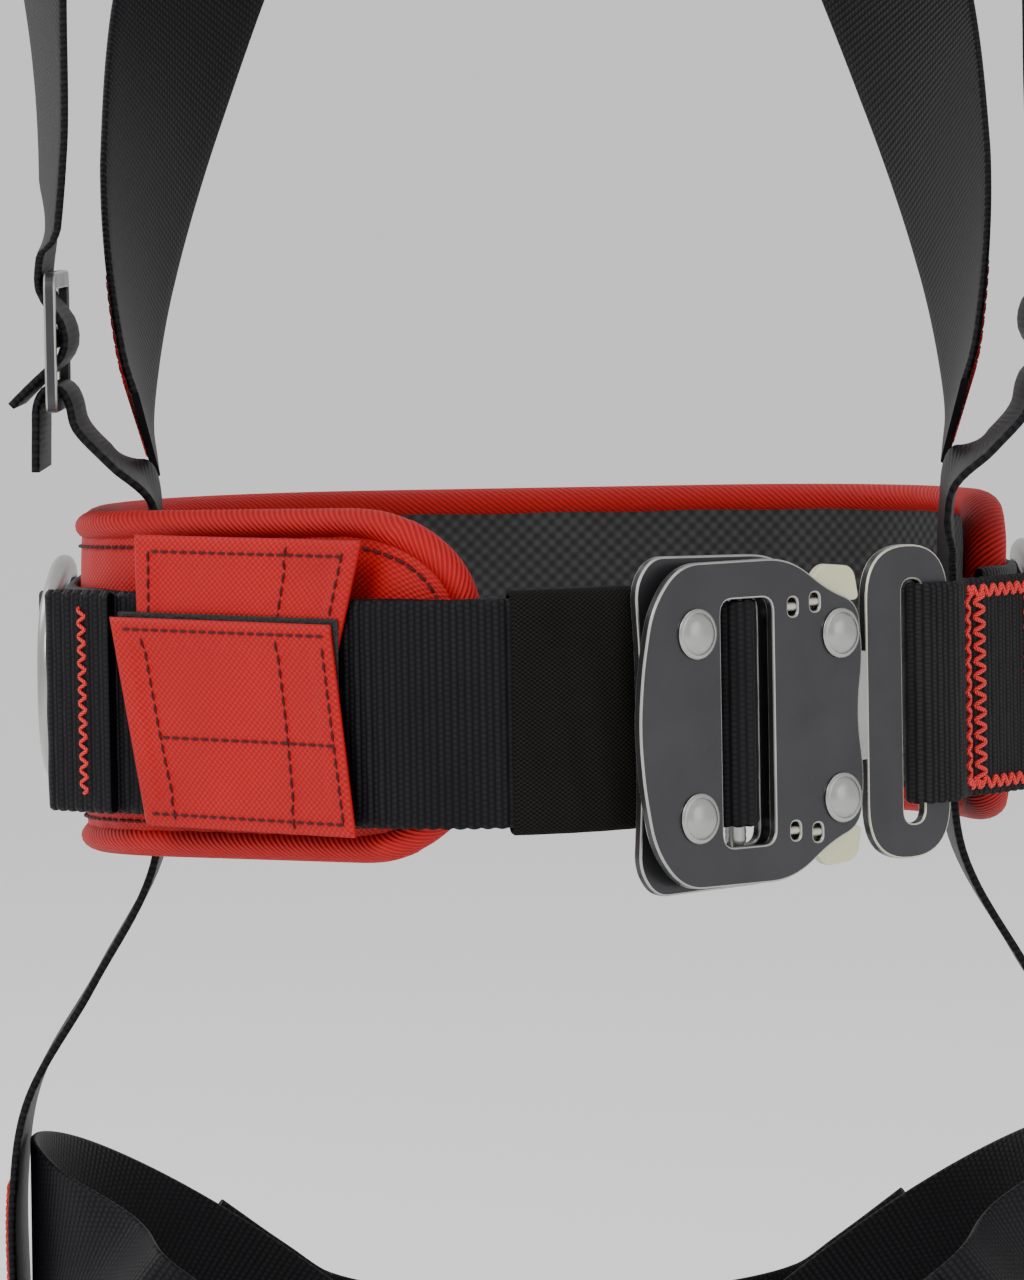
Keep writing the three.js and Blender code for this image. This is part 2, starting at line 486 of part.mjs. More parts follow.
/** Ladder plate that the shoulder strap is woven through; the side strap hangs on its lowest bar. */
function adjuster(side) {
  const shape = box(-ADJUSTER.half, ADJUSTER.half, ADJUSTER.low, ADJUSTER.high, 4);
  const clear = STRAP_WIDTH / 2 + 0.8;
  shape.holes.push(box(-clear, clear, 61, 71, 1, THREE.Path));
  shape.holes.push(box(-clear, clear, 75, 83, 1, THREE.Path));
  const geometry = plateXZ(shape, -ADJUSTER.thick / 2, ADJUSTER.thick / 2, 3);
  geometry.rotateZ(Math.PI / 2);
  geometry.translate(side * -ADJUSTER.x, ADJUSTER.y, 0);
  return geometry;
}
const sideRoute = [[-104.8, -6, 46], [-104.6, -6, 54], [-104.3, -6, 59.5], [-103, -6, 62.2], [-101, -6, 63.2],
  [-99, -6, 62.2], [-97.7, -6, 59.5], [-96.6, -6, 55], [-90.4, -6, 48], [-83.4, -4, 41], [-81.6, 0, 30], [-82, 3, 0],
  [-82.6, 5, -34], [-96, 6, -60], [-110, 6, -84], [-113.4, 6, -104], [-113.4, 6, -132]];
for (const [word, side] of [['right', -1], ['left', 1]]) {
  part(`torso_adjuster_${word}`, adjuster(side), colours.plate, { metal: 0.7, rough: 0.4 });
  addBand(`side_strap_${word}`, side < 0 ? sideRoute : mirror(sideRoute), () => new THREE.Vector3(0, 1, 0));
}

// ---- Dorsal plate and ring ----
const DORSAL = { y: 110.5, z: 285, thick: 3 };
const dorsalShape = roundedPath([[-44, -26, 10], [44, -26, 10], [38, 34, 12], [-38, 34, 12]]);
for (const z of [-14, 20]) dorsalShape.holes.push(box(-24, 24, z - 3, z + 3, 2.5, THREE.Path));
const dorsalPlate = plateXZ(dorsalShape, 0, DORSAL.thick, 4);
dorsalPlate.translate(0, DORSAL.y, DORSAL.z);
part('dorsal_plate', dorsalPlate, colours.plastic, { rough: 0.6 });
const dorsalBasis = new THREE.Matrix4().makeBasis(new THREE.Vector3(-1, 0, 0), new THREE.Vector3(0, -1, 0),
  new THREE.Vector3(0, 0, 1));
ringSet('dorsal', DORSAL_RING, [0, DORSAL.y + DORSAL.thick + 7.4, DORSAL.z + 2], dorsalBasis, 40,
  [[6, 24], [6, 16], [5.8, 8]], [1, 0]);

// ---- Pass-through buckles: a frame and a link that hooks over it ----
const LINK_BAR = 4;
const frameSize = { left: -24, right: 12, half: 28 };
const linkSize = { left: -6, right: 22, half: 25 };
/** Adds a frame and a link in a group whose -Y points away from the wearer. */
function passBuckle(prefix, position, tilt) {
  const group = new THREE.Group();
  group.position.set(...position);
  group.rotation.y = tilt;
  harness.add(group);
  group.updateMatrixWorld(true);
  const ring = box(frameSize.left, frameSize.right, -frameSize.half, frameSize.half, 4);
  ring.holes.push(box(frameSize.left + LINK_BAR, frameSize.right - LINK_BAR, -23.6, 23.6, 2, THREE.Path));
  part(`${prefix}_buckle_frame`, plateXZ(ring, -1.5, 1.5, 3), colours.plate, { metal: 0.7, rough: 0.35, into: group });
  const link = box(linkSize.left, linkSize.right, -linkSize.half, linkSize.half, 4);
  link.holes.push(box(linkSize.right - LINK_BAR - 7, linkSize.right - LINK_BAR, -22.6, 22.6, 2, THREE.Path));
  link.holes.push(box(linkSize.left + 6, linkSize.left + 11, -12, 12, 2, THREE.Path));
  part(`${prefix}_buckle_link`, plateXZ(link, -4.9, -1.9, 3), colours.plate, { metal: 0.7, rough: 0.35, into: group });
  return (x, y, z = 0) => group.localToWorld(new THREE.Vector3(x, y, z)).toArray();
}
const LOOP = 3.8;
/** Route of a strap end round the frame's bar, from the far side to the returned end. */
const frameEnd = (at) => [at(-44, 1.4), at(-30, 2.2), at(-22, LOOP), at(-19.2, 2.6), at(-18.2, 0), at(-19.2, -2.6),
  at(-22, -LOOP), at(-28, -3.2), at(-36, -1.2)];
const linkEnd = (at) => [at(42, 0), at(30, -1.4), at(20, -3.4 + LOOP), at(17.3, -0.7), at(16.2, -3.4), at(17.3, -6.1),
  at(20, -3.4 - LOOP), at(26, -6.2), at(36, -3)];
const chestAt = passBuckle('chest', [0, -106, 248], 0);
const chestSide = [[-105, -71, 246], [-92, -86, 247], [-75, -99.5, 248], [-58, -105, 248]];
addBand('chest_strap_right', [...chestSide, ...frameEnd(chestAt)], () => up.clone());
addBand('chest_strap_left', [...mirror(chestSide), ...linkEnd(chestAt)], () => up.clone());

// ---- Leg loops and seat strap ----
const LEG = { x: 58, y: 5, wide: 52, deep: 62, z: -155, tilt: 40 };
const legTilt = Math.atan2(LEG.tilt, LEG.wide);
for (const [word, side] of [['right', -1], ['left', 1]]) {
  const at = passBuckle(`leg_${word}`, [side * LEG.x, LEG.y - LEG.deep - 3, LEG.z], -side * legTilt);
  const round = (deg) => {
    const angle = deg * DEG;
    return [side * LEG.x + LEG.wide * Math.cos(angle), LEG.y + LEG.deep * Math.sin(angle),
      LEG.z + side * LEG.tilt * Math.cos(angle)];
  };
  const middle = Array.from({ length: 9 }, (_, step) => round(218 - step * 32));
  const route = [...frameEnd(at).reverse(), ...middle, ...linkEnd(at)];
  const core = (point) => new THREE.Vector3(side * LEG.x, LEG.y, point.z);
  const localWide = new THREE.Vector3(...at(0, 0, 1)).sub(new THREE.Vector3(...at(0, 0, 0)));
  addBand(`leg_strap_${word}`, route, (point, along) => {
    const front = LEG.y - LEG.deep;
    const round01 = THREE.MathUtils.smoothstep(point.y, front + 12, front + 40);
    const level = along.cross(point.clone().sub(core(point))).normalize();
    if (level.dot(localWide) < 0) level.negate();
    return localWide.clone().lerp(level, round01);
  });
}
const seatRoute = [[-84, 69, -134], [-71, 75, -145], [-58, 77.5, -154], [-30, 80, -160], [0, 81, -161]];
const seatFull = [...seatRoute, ...mirror(seatRoute.slice(0, -1)).reverse()];
const legCore = (point) => new THREE.Vector3(0, -20, point.z);
addBand('seat_strap', seatFull, (point, along) => along.cross(point.clone().sub(legCore(point))));

export default harness;
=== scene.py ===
"""Full-body safety harness in its worn shape: the finished look over the shared frame.

Lengths are in millimetres until a mesh is made. +Z is up, the wearer faces -Y and the wearer's right is -X.
A band is described by a centre line, a width direction and an outward direction; a place on it is (s, w, o):
the length along it, the height across it and the distance out of it.
"""

import logging
import math
from dataclasses import dataclass
from enum import Enum

import bmesh
import bpy
import numpy as np
from mathutils import Matrix, Vector
from mathutils.geometry import tessellate_polygon


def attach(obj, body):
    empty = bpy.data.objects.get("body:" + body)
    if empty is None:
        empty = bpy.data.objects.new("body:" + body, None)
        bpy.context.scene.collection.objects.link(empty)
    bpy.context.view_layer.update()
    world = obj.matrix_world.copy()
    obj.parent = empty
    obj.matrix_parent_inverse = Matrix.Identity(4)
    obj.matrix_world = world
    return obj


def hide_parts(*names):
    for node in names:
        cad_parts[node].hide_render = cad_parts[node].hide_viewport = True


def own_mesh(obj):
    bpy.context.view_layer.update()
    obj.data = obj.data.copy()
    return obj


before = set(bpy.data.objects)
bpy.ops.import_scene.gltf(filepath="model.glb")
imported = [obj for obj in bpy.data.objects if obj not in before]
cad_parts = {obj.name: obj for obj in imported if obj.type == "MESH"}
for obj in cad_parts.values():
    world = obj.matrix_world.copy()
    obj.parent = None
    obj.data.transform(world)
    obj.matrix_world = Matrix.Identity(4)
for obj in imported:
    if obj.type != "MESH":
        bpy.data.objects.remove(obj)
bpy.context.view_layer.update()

LOG = logging.getLogger("harness")
MM = 0.001
TAU = 2 * math.pi
UP = np.array([0.0, 0.0, 1.0])

# ---- Driving numbers shared with the solids ----
NOSE = (-17.0, -97.0)
FRONT_RADIUS = 50.0
FRONT_TURN = 41.0
BELT_WIDTH = 44.4
BELT_THICK = 2.0
STRAP_WIDTH = 44.0
STRAP_THICK = 1.6
PAD_DEPTH = 4.8
PAD_THICK = 8.0
PAD_HALF = 35.0
PAD_END = 26.0
TAIL_FREE = 23.0
SIDE_LEGS = ((0, 35, -43), (59, 0, 0), (0, 58, -47), (26.4, 0, 0), (0, 65, -90), (71.5, 0, 0),
             (0, 65, -90), (5, 0, 0))
BUCKLE_ORIGIN = (14.02, -93.97, -3.8)
FLAP_ORIGIN = (-40.87, -87.6, 0.0)
SIDE_TURN = 43.0
RIVETS = ((14.8, 18.1), (14.8, -18.1), (53.4, 16.4), (53.4, -16.4))
SLOTS = ((40.6, 22.2), (46.6, 22.9))
TAB_RISE = 1.4
TAB_THICK = 1.8
RIB_PITCH = 2.7
RIB_RELIEF = 0.26
PLATE_CREASE = 16.0
SOFT_CREASE = 40.0


# ---------------------------------------------------------------- small maths
def unit(vectors: np.ndarray) -> np.ndarray:
    """Scales vectors to length one.

    Args:
        vectors: Any array whose last axis is a vector.
    Returns:
        The same array with unit vectors.
    """
    return vectors / np.maximum(np.linalg.norm(vectors, axis=-1, keepdims=True), 1e-12)


def smooth_step(low: float, high: float, values: np.ndarray) -> np.ndarray:
    """Eases from 0 at low to 1 at high.

    Args:
        low: Where it starts.
        high: Where it ends.
        values: The places asked for.
    Returns:
        The eased share at each place.
    """
    share = np.clip((values - low) / (high - low), 0, 1)
    return share * share * (3 - 2 * share)


def interp(at: np.ndarray, s: np.ndarray, values: np.ndarray) -> np.ndarray:
    """Interpolates vectors along a length.

    Args:
        at: Lengths asked for, in any shape.
        s: Known lengths.
        values: Vectors at the known lengths.
    Returns:
        Vectors in the shape of at, with one more axis.
    """
    return np.stack([np.interp(at, s, values[:, axis]) for axis in range(values.shape[1])], axis=-1)


def spline(route: list, per_span: int = 12) -> np.ndarray:
    """A centripetal curve through route points.

    Args:
        route: Given points.
        per_span: Samples between two of them.
    Returns:
        Points on the curve.
    """
    points = np.array(route, float)
    padded = np.vstack([2 * points[0] - points[1], points, 2 * points[-1] - points[-2]])
    share = np.linspace(0, 1, per_span, endpoint=False)[:, None]
    spans = []
    for p0, p1, p2, p3 in zip(padded, padded[1:], padded[2:], padded[3:]):
        d0, d1, d2 = (max(math.sqrt(np.linalg.norm(b - a)), 1e-4)
                      for a, b in ((p0, p1), (p1, p2), (p2, p3)))
        m1 = ((p1 - p0) / d0 - (p2 - p0) / (d0 + d1) + (p2 - p1) / d1) * d1
        m2 = ((p2 - p1) / d1 - (p3 - p1) / (d1 + d2) + (p3 - p2) / d2) * d1
        spans.append(p1 + m1 * share + (3 * (p2 - p1) - 2 * m1 - m2) * share ** 2
                     + (2 * (p1 - p2) + m1 + m2) * share ** 3)
    return np.vstack([*spans, points[-1:]])


def rounded(points: list, steps: int = 7) -> np.ndarray:
    """A closed outline with eased corners.

    Args:
        points: Corners as (x, z, radius).
        steps: Samples in each corner.
    Returns:
        Outline points, anticlockwise.
    """
    corners = np.array([point[:2] for point in points], float)
    share = np.linspace(0, 1, steps)[:, None]
    parts = []
    for index, corner in enumerate(corners):
        back = corners[index - 1] - corner
        ahead = corners[(index + 1) % len(corners)] - corner
        reach = min(points[index][2], 0.49 * np.linalg.norm(back), 0.49 * np.linalg.norm(ahead))
        start = corner + unit(back) * reach
        end = corner + unit(ahead) * reach
        if reach <= 0:
            parts.append(corner[None])
        else:
            parts.append((1 - share) ** 2 * start + 2 * share * (1 - share) * corner + share ** 2 * end)
    path = np.vstack(parts)
    after = np.roll(path, -1, axis=0)
    area = np.sum(path[:, 0] * after[:, 1] - after[:, 0] * path[:, 1])
    return path if area > 0 else path[::-1]


def box(x0: float, x1: float, z0: float, z1: float, radius: float) -> np.ndarray:
    """A rounded rectangle outline.

    Args:
        x0: Left side.
        x1: Right side.
        z0: Lower side.
        z1: Upper side.
        radius: Corner radius.
    Returns:
        Outline points.
    """
    return rounded([(x0, z0, radius), (x1, z0, radius), (x1, z1, radius), (x0, z1, radius)])


def disc(x: float, z: float, radius: float) -> np.ndarray:
    """A circular outline.

    Args:
        x: Centre across.
        z: Centre height.
        radius: Its radius.
    Returns:
        Outline points.
    """
    angle = np.linspace(0, TAU, 36, endpoint=False)
    return np.stack([x + radius * np.cos(angle), z + radius * np.sin(angle)], axis=1)


def walk(start: tuple, heading: float, legs: tuple, step: float = 0.8) -> np.ndarray:
    """Walks straight runs and arcs on the floor plan.

    Args:
        start: First point.
        heading: First heading in degrees.
        legs: Each (run, radius, turn in degrees).
        step: Longest sample spacing.
    Returns:
        Rows of (x, y, heading in radians).
    """
    x, y, angle = start[0], start[1], math.radians(heading)
    rows = [(x, y, angle)]
    for run, radius, turn in legs:
        sweep = math.radians(turn)
        count = max(2, math.ceil((run or radius * abs(sweep)) / step))
        for _ in range(count):
            part = sweep / count
            length = 2 * radius * math.sin(abs(part) / 2) if turn else run / count
            x += length * math.cos(angle + part / 2)
            y += length * math.sin(angle + part / 2)
            angle += part
            rows.append((x, y, angle))
    return np.array(rows)


# ---------------------------------------------------------------- finishes
class Pattern(Enum):
    """How a textile's surface repeats."""

    RIB = "rib"
    PLAIN = "plain"
    TWILL = "twill"
    HOOK = "hook"


class Graph:
    """A material's nodes, with short ways to add maths to them."""

    def __init__(self, name: str) -> None:
        """Starts a material of that name, with nodes.

        Args:
            name: The material's name.
        """
        self.material = bpy.data.materials.new(name)
        self.material.use_nodes = True
        self.tree = self.material.node_tree
        self.shader = self.tree.nodes["Principled BSDF"]
        self.coords = self.tree.nodes.new("ShaderNodeTexCoord")

    def feed(self, value: object, socket: bpy.types.NodeSocket) -> None:
        """Links or sets an input.

        Args:
            value: A socket or a constant.
            socket: The input.
        """
        if isinstance(value, bpy.types.NodeSocket):
            self.tree.links.new(value, socket)
        else:
            socket.default_value = value

    def maths(self, operation: str, *values: object) -> bpy.types.NodeSocket:
        """Adds one maths node.

        Args:
            operation: Its operation.
            values: Sockets or numbers.
        Returns:
            Its result.
        """
        node = self.tree.nodes.new("ShaderNodeMath")
        node.operation = operation
        for value, socket in zip(values, node.inputs):
            self.feed(value, socket)
        return node.outputs[0]

    def wave(self, value: object, period: float, phase: object = 0.0) -> bpy.types.NodeSocket:
        """A sine of a length.

        Args:
            value: The length socket.
            period: Its period.
            phase: Added angle.
        Returns:
            The sine, from -1 to 1.
        """
        angle = self.maths("MULTIPLY_ADD", value, TAU / period, phase)
        return self.maths("SINE", angle)

    def uv(self) -> tuple:
        """The surface's own lengths in millimetres.

        Returns:
            Sockets along and across.
        """
        split = self.tree.nodes.new("ShaderNodeSeparateXYZ")
        self.feed(self.coords.outputs["UV"], split.inputs[0])
        return split.outputs[0], split.outputs[1]

    def noise(self, scale: float, detail: float = 2.0) -> bpy.types.NodeSocket:
        """Soft noise in the object's space.

        Args:
            scale: Features per metre.
            detail: Its octaves.
        Returns:
            A value about 0.5.
        """
        node = self.tree.nodes.new("ShaderNodeTexNoise")
        self.feed(self.coords.outputs["Object"], node.inputs["Vector"])
        node.inputs["Scale"].default_value = scale
        node.inputs["Detail"].default_value = detail
        return node.outputs[0]

    def blend(self, share: object, low: tuple, high: tuple) -> bpy.types.NodeSocket:
        """Mixes two colours.

        Args:
            share: Factor socket.
            low: Colour at 0.
            high: Colour at 1.
        Returns:
            The colour socket.
        """
        node = self.tree.nodes.new("ShaderNodeMix")
        node.data_type = "RGBA"
        self.feed(share, node.inputs[0])
        node.inputs[6].default_value = (*low, 1)
        node.inputs[7].default_value = (*high, 1)
        return node.outputs[2]

    def bump(self, height: bpy.types.NodeSocket, depth: float, strength: float = 1.0) -> None:
        """Raises the surface by a height.

        Args:
            height: From 0 to 1.
            depth: In millimetres.
            strength: How strongly it shades.
        """
        node = self.tree.nodes.new("ShaderNodeBump")
        node.inputs["Strength"].default_value = strength
        node.inputs["Distance"].default_value = depth * MM
        self.feed(height, node.inputs["Height"])
        self.feed(node.outputs[0], self.shader.inputs["Normal"])


@dataclass(frozen=True)
class Textile:
    """A woven or knitted finish.

    A rib repeats along the band and is cut into floats across it, a plain weave is the product of two sines,
    and a twill runs diagonally. The height picks the colour: painted shade in the hollows, a painted
    highlight on the crowns.
    """

    name: str
    low: tuple
    high: tuple
    pattern: Pattern
    pitch: float
    float_pitch: float
    depth: float
    rough: float = 0.75
    fuzz: float = 0.2
    shine: float = 0.3

    def material(self) -> bpy.types.Material:
        """Builds the material once.

        Returns:
            The material.
        """
        known = bpy.data.materials.get(self.name)
        if known:
            return known
        graph = Graph(self.name)
        u, v = graph.uv()
        if self.pattern is Pattern.RIB:
            row = graph.maths("FLOOR", graph.maths("DIVIDE", u, self.pitch))
            ribs = graph.maths("ABSOLUTE", graph.wave(u, 2 * self.pitch))
            floats = graph.wave(v, self.float_pitch, graph.maths("MULTIPLY", row, math.pi))
            height = graph.maths("MULTIPLY", ribs, graph.maths("MULTIPLY_ADD", floats, 0.26, 0.74))
        elif self.pattern is Pattern.TWILL:
            slope = graph.maths("ADD", u, v)
            height = graph.maths("MULTIPLY_ADD", graph.wave(slope, self.pitch), 0.5, 0.5)
        elif self.pattern is Pattern.HOOK:
            height = graph.noise(1400, 1)
        else:
            weave = graph.maths("MULTIPLY", graph.wave(u, 2 * self.pitch),
                                graph.wave(v, 2 * self.float_pitch))
            height = graph.maths("MULTIPLY_ADD", weave, 0.5, 0.5)
        lint = graph.noise(1900, 3)
        broad = graph.noise(45, 3)
        mixed = graph.maths("MULTIPLY_ADD", lint, self.fuzz, height)
        tone = graph.maths("MULTIPLY", mixed, graph.maths("MULTIPLY_ADD", broad, 0.7, 0.6))
        # Painted shade and highlight: the colour runs from low in the weave's hollows to high on its crowns.
        graph.feed(graph.blend(graph.maths("POWER", tone, 1.4), self.low, self.high),
                   graph.shader.inputs["Base Color"])
        graph.feed(self.rough, graph.shader.inputs["Roughness"])
        graph.shader.inputs["Specular IOR Level"].default_value = self.shine
        graph.bump(mixed, self.depth)
        return graph.material


@dataclass(frozen=True)
class Solid:
    """Metal or plastic with fine grain and faint wear."""

    name: str
    low: tuple
    high: tuple
    metal: float
    rough: float
    grain: float = 0.02

    def material(self) -> bpy.types.Material:
        """Builds the material once.

        Returns:
            The material.
        """
        known = bpy.data.materials.get(self.name)
        if known:
            return known
        graph = Graph(self.name)
        broad = graph.noise(90, 4)
        grain = graph.noise(2600, 2)
        share = graph.maths("MULTIPLY_ADD", grain, 0.35, graph.maths("MULTIPLY", broad, 0.65))
        graph.feed(graph.blend(share, self.low, self.high), graph.shader.inputs["Base Color"])
        graph.feed(self.metal, graph.shader.inputs["Metallic"])
        graph.feed(graph.maths("MULTIPLY_ADD", broad, 0.24, self.rough - 0.12),
                   graph.shader.inputs["Roughness"])
        graph.bump(grain, self.grain, 0.6)
        return graph.material


# For each textile the low colour is the painted shade of its hollows and the high colour the painted
# highlight of its crowns.
WEBBING = Textile("webbing_rib", (0.0012, 0.0011, 0.0014), (0.0135, 0.0128, 0.016), Pattern.RIB, 1.35,
                  1.1, 0.14, 0.5, 0.2, 0.13)
# Fuzzier webbing for the tab: more lint noise, and a brighter painted highlight on its rib crests.
FUZZY = Textile("webbing_worn_and_sheen", (0.0015, 0.0014, 0.0017), (0.022, 0.021, 0.023), Pattern.RIB, 1.35, 0.9,
                0.2, 0.7, 0.5, 0.12)
ELASTIC = Textile("finish_elastic", (0.0015, 0.0014, 0.0012), (0.0200, 0.0185, 0.0165), Pattern.PLAIN,
                  0.55, 0.42, 0.2, 0.85, 0.25, 0.06)
RED = Textile("red_coarse_nylon", (0.30, 0.001, 0.002), (0.60, 0.004, 0.005), Pattern.PLAIN, 0.75, 0.62,
              0.11, 0.6, 0.15)
BINDING = Textile("red_binding", (0.30, 0.001, 0.002), (0.58, 0.005, 0.006), Pattern.TWILL, 1.5, 1.5, 0.2,
                  0.65, 0.15)
LINING = Textile("pad_lining", (0.02, 0.02, 0.021), (0.06, 0.06, 0.062), Pattern.PLAIN, 1.6, 1.6, 0.3,
                 0.9, 0.3)
HOOK = Textile("hook_tape", (0.004, 0.004, 0.004), (0.03, 0.03, 0.03), Pattern.HOOK, 1, 1, 0.4, 0.7, 0.5)
RED_THREAD = Textile("red_thread", (0.42, 0.008, 0.01), (0.95, 0.06, 0.05), Pattern.TWILL, 0.7, 0.7, 0.08,
                     0.5, 0.2)
DARK_THREAD = Textile("dark_thread", (0.035, 0.002, 0.003), (0.10, 0.006, 0.008), Pattern.TWILL, 0.7, 0.7,
                      0.08, 0.6, 0.2)
COATED = Solid("gunmetal_coat", (0.045, 0.045, 0.048), (0.075, 0.075, 0.080), 0.7, 0.30)
# Lighter metal laid on the plates' rounded edge bands, front and back.
PALE_BEVEL = Solid("pale_bevel_metal", (0.30, 0.30, 0.29), (0.55, 0.55, 0.52), 0.85, 0.32)
CREAM_EDGE = Solid("cream_edge", (0.45, 0.44, 0.36), (0.72, 0.70, 0.58), 0.55, 0.4)
SATIN = Solid("finish_satin_steel", (0.30, 0.30, 0.295), (0.52, 0.52, 0.505), 0.95, 0.32)
ZINC = Solid("finish_zinc", (0.58, 0.58, 0.33), (0.82, 0.82, 0.58), 0.45, 0.42)
PLASTIC = Solid("finish_plastic", (0.012, 0.012, 0.013), (0.03, 0.03, 0.031), 0.0, 0.5)
PALE = Solid("pale_wall", (0.93, 0.93, 0.93), (0.95, 0.95, 0.95), 0.0, 0.9)


# ---------------------------------------------------------------- meshes
@dataclass
class Shape:
    """Mesh data in millimetres: faces of any size, with UVs and finish numbers.

    There is a (u, v) pair for each face corner and a finish number for each face.
    """

    vertices: np.ndarray
    faces: list
    uvs: np.ndarray | None = None
    finishes: list | None = None

    def placed(self, matrix: Matrix) -> "Shape":
        """Moves the shape.

        Args:
            matrix: Place and turn, in millimetres.
        Returns:
            The moved shape.
        """
        turn = np.array(matrix)
        return Shape(self.vertices @ turn[:3, :3].T + turn[:3, 3], self.faces, self.uvs, self.finishes)


def grid(points: np.ndarray, u: np.ndarray, v: np.ndarray, close_u: bool = False, close_v: bool = False,
         caps: bool = False) -> Shape:
    """Skins a grid of points with four-sided faces.

    Args:
        points: Array (n, m, 3).
        u: Lengths of the rows, one more than n when closed.
        v: Lengths of the columns, one more than m when closed.
        close_u: Joins the last row to the first.
        close_v: Joins the last column to the first.
        caps: Closes both ends with one face each.
    Returns:
        The shape.
    """
    n, m, _ = points.shape
    i, j = np.meshgrid(np.arange(n if close_u else n - 1), np.arange(m if close_v else m - 1),
                       indexing="ij")
    i, j = i.ravel(), j.ravel()
    corners_i = np.stack([i, i + 1, i + 1, i], axis=1)
    corners_j = np.stack([j, j, j + 1, j + 1], axis=1)
    faces = ((corners_i % n) * m + corners_j % m).tolist()
    uvs = np.stack([u[corners_i], v[corners_j]], axis=-1).reshape(-1, 2)
    if caps:
        ends = [np.arange(m)[::-1], (n - 1) * m + np.arange(m)]
        faces += [end.tolist() for end in ends]
        uvs = np.vstack([uvs, *[np.stack([np.full(m, u[0]), v[end % m]], axis=1) for end in ends]])
    return Shape(points.reshape(-1, 3), faces, uvs)


def tubes(paths: np.ndarray, normals: np.ndarray, radius: float, sides: int = 7) -> Shape:
    """Round threads along many equal-length lines.

    Args:
        paths: Array (lines, samples, 3).
        normals: Outward directions, same shape.
        radius: Thread radius.
        sides: Sides of the section.
    Returns:
        One shape with every thread.
    """
    along = unit(np.gradient(paths, axis=1))
    side = unit(np.cross(along, normals))
    over = np.cross(side, along)
    angle = np.linspace(0, TAU, sides, endpoint=False)
    ring = side[..., None, :] * np.cos(angle)[:, None] + over[..., None, :] * np.sin(angle)[:, None]
    lines, samples, _ = paths.shape
    points = paths[..., None, :] + ring * radius
    length = np.concatenate([[0], np.cumsum(np.linalg.norm(np.diff(paths[0], axis=0), axis=1))])
    around = np.linspace(0, TAU * radius, sides + 1)
    vertices, faces, uvs = [], [], []
    for line in range(lines):
        part = grid(points[line], length, around, close_v=True, caps=True)
        offset = line * samples * sides
        vertices.append(part.vertices)
        faces += [[corner + offset for corner in face] for face in part.faces]
        uvs.append(part.uvs)
    return Shape(np.vstack(vertices), faces, np.vstack(uvs))


def stitches(line: np.ndarray, normal: np.ndarray, pitch: float, radius: float = 0.28,
             share: float = 0.74) -> Shape:
    """A row of single stitches: each rises out of the cloth and dips back into it as half a sine.

    Args:
        line: Dense points on the surface.
        normal: Outward directions there.
        pitch: From one stitch to the next.
        radius: Thread radius.
        share: The part of the pitch that shows.
    Returns:
        The threads.
    """
    s = np.concatenate([[0], np.cumsum(np.linalg.norm(np.diff(line, axis=0), axis=1))])
    count = max(int(s[-1] / pitch), 1)
    share01 = np.linspace(0, 1, 6)
    at = (np.arange(count)[:, None] + 0.13 + share * share01) * pitch
    out = unit(interp(at, s, normal))
    lift = (np.sin(math.pi * share01) * 1.3 - 0.7) * radius
    return tubes(interp(at, s, line) + out * lift[:, None], out, radius)


def lathe(profile: list, segments: int = 40) -> Shape:
    """Turns a profile about the Y axis.

    Args:
        profile: Pairs (radius, distance out of the face).
        segments: Steps round.
    Returns:
        The turned shape.
    """
    rows = np.array(profile, float)
    angle = np.linspace(0, TAU, segments, endpoint=False)
    points = np.stack([rows[:, :1] * np.cos(angle), np.repeat(-rows[:, 1:], segments, axis=1),
                       rows[:, :1] * np.sin(angle)], axis=-1)
    length = np.concatenate([[0], np.cumsum(np.linalg.norm(np.diff(rows, axis=0), axis=1))])
    return grid(points, length, np.linspace(0, TAU * rows[:, 0].max(), segments + 1), close_v=True,
                caps=True)


def plate(outline: np.ndarray, holes: list, low: float, high: float, bevel: float = 0.3) -> Shape:
    """A flat plate with eased edges, standing in the X-Z plane.

    Each loop is drawn at five heights; the first and last are set in by the bevel, which rounds the edge.
    The edge faces take the second finish.

    Args:
        outline: Outer loop.
        holes: Inner loops.
        low: Distance of its back from the plane, outward positive.
        high: Distance of its front.
        bevel: Edge radius.
    Returns:
        The plate.
    """
    profile = ((1, high), (0.29, high - 0.29 * bevel), (0, high - bevel), (0, low + bevel),
               (0.29, low + 0.29 * bevel), (1, low))
    vertices, faces, finishes, tops, base = [], [], [], [], 0
    for loop in [outline, *[hole[::-1] for hole in holes]]:
        ahead = unit(np.roll(loop, -1, axis=0) - loop)
        bisector = unit(ahead + np.roll(ahead, 1, axis=0))
        inward = np.stack([-bisector[:, 1], bisector[:, 0]], axis=1)
        count = len(loop)
        for inset, out in profile:
            ring = loop + inward * inset * bevel
            vertices.append(np.stack([ring[:, 0], np.full(count, -out), ring[:, 1]], axis=1))
        index = np.arange(count)
        after = (index + 1) % count
        for row in range(len(profile) - 1):
            top, under = base + row * count, base + (row + 1) * count
            faces += np.stack([under + index, under + after, top + after, top + index], axis=1).tolist()
            finishes += [0 if row == 2 else 1] * count
        tops.append((loop + inward * bevel, base))
        base += len(profile) * count
    flat = np.vstack([ring for ring, _ in tops])
    ids = np.concatenate([start + np.arange(len(ring)) for ring, start in tops])
    last = np.concatenate([np.full(len(ring), (len(profile) - 1) * len(ring)) for ring, _ in tops])
    for a, b, c in tessellate_polygon([[Vector((x, z, 0)) for x, z in ring] for ring, _ in tops]):
        edge, other = flat[b] - flat[a], flat[c] - flat[a]
        if edge[0] * other[1] - edge[1] * other[0] < 0:
            b, c = c, b
        faces.append([int(ids[a]), int(ids[b]), int(ids[c])])
        faces.append([int(ids[corner] + last[corner]) for corner in (c, b, a)])
        finishes += [0, 0]
    points = np.vstack(vertices)
    uvs = np.vstack([points[face][:, [0, 2]] for face in faces])
    return Shape(points, faces, uvs, finishes)


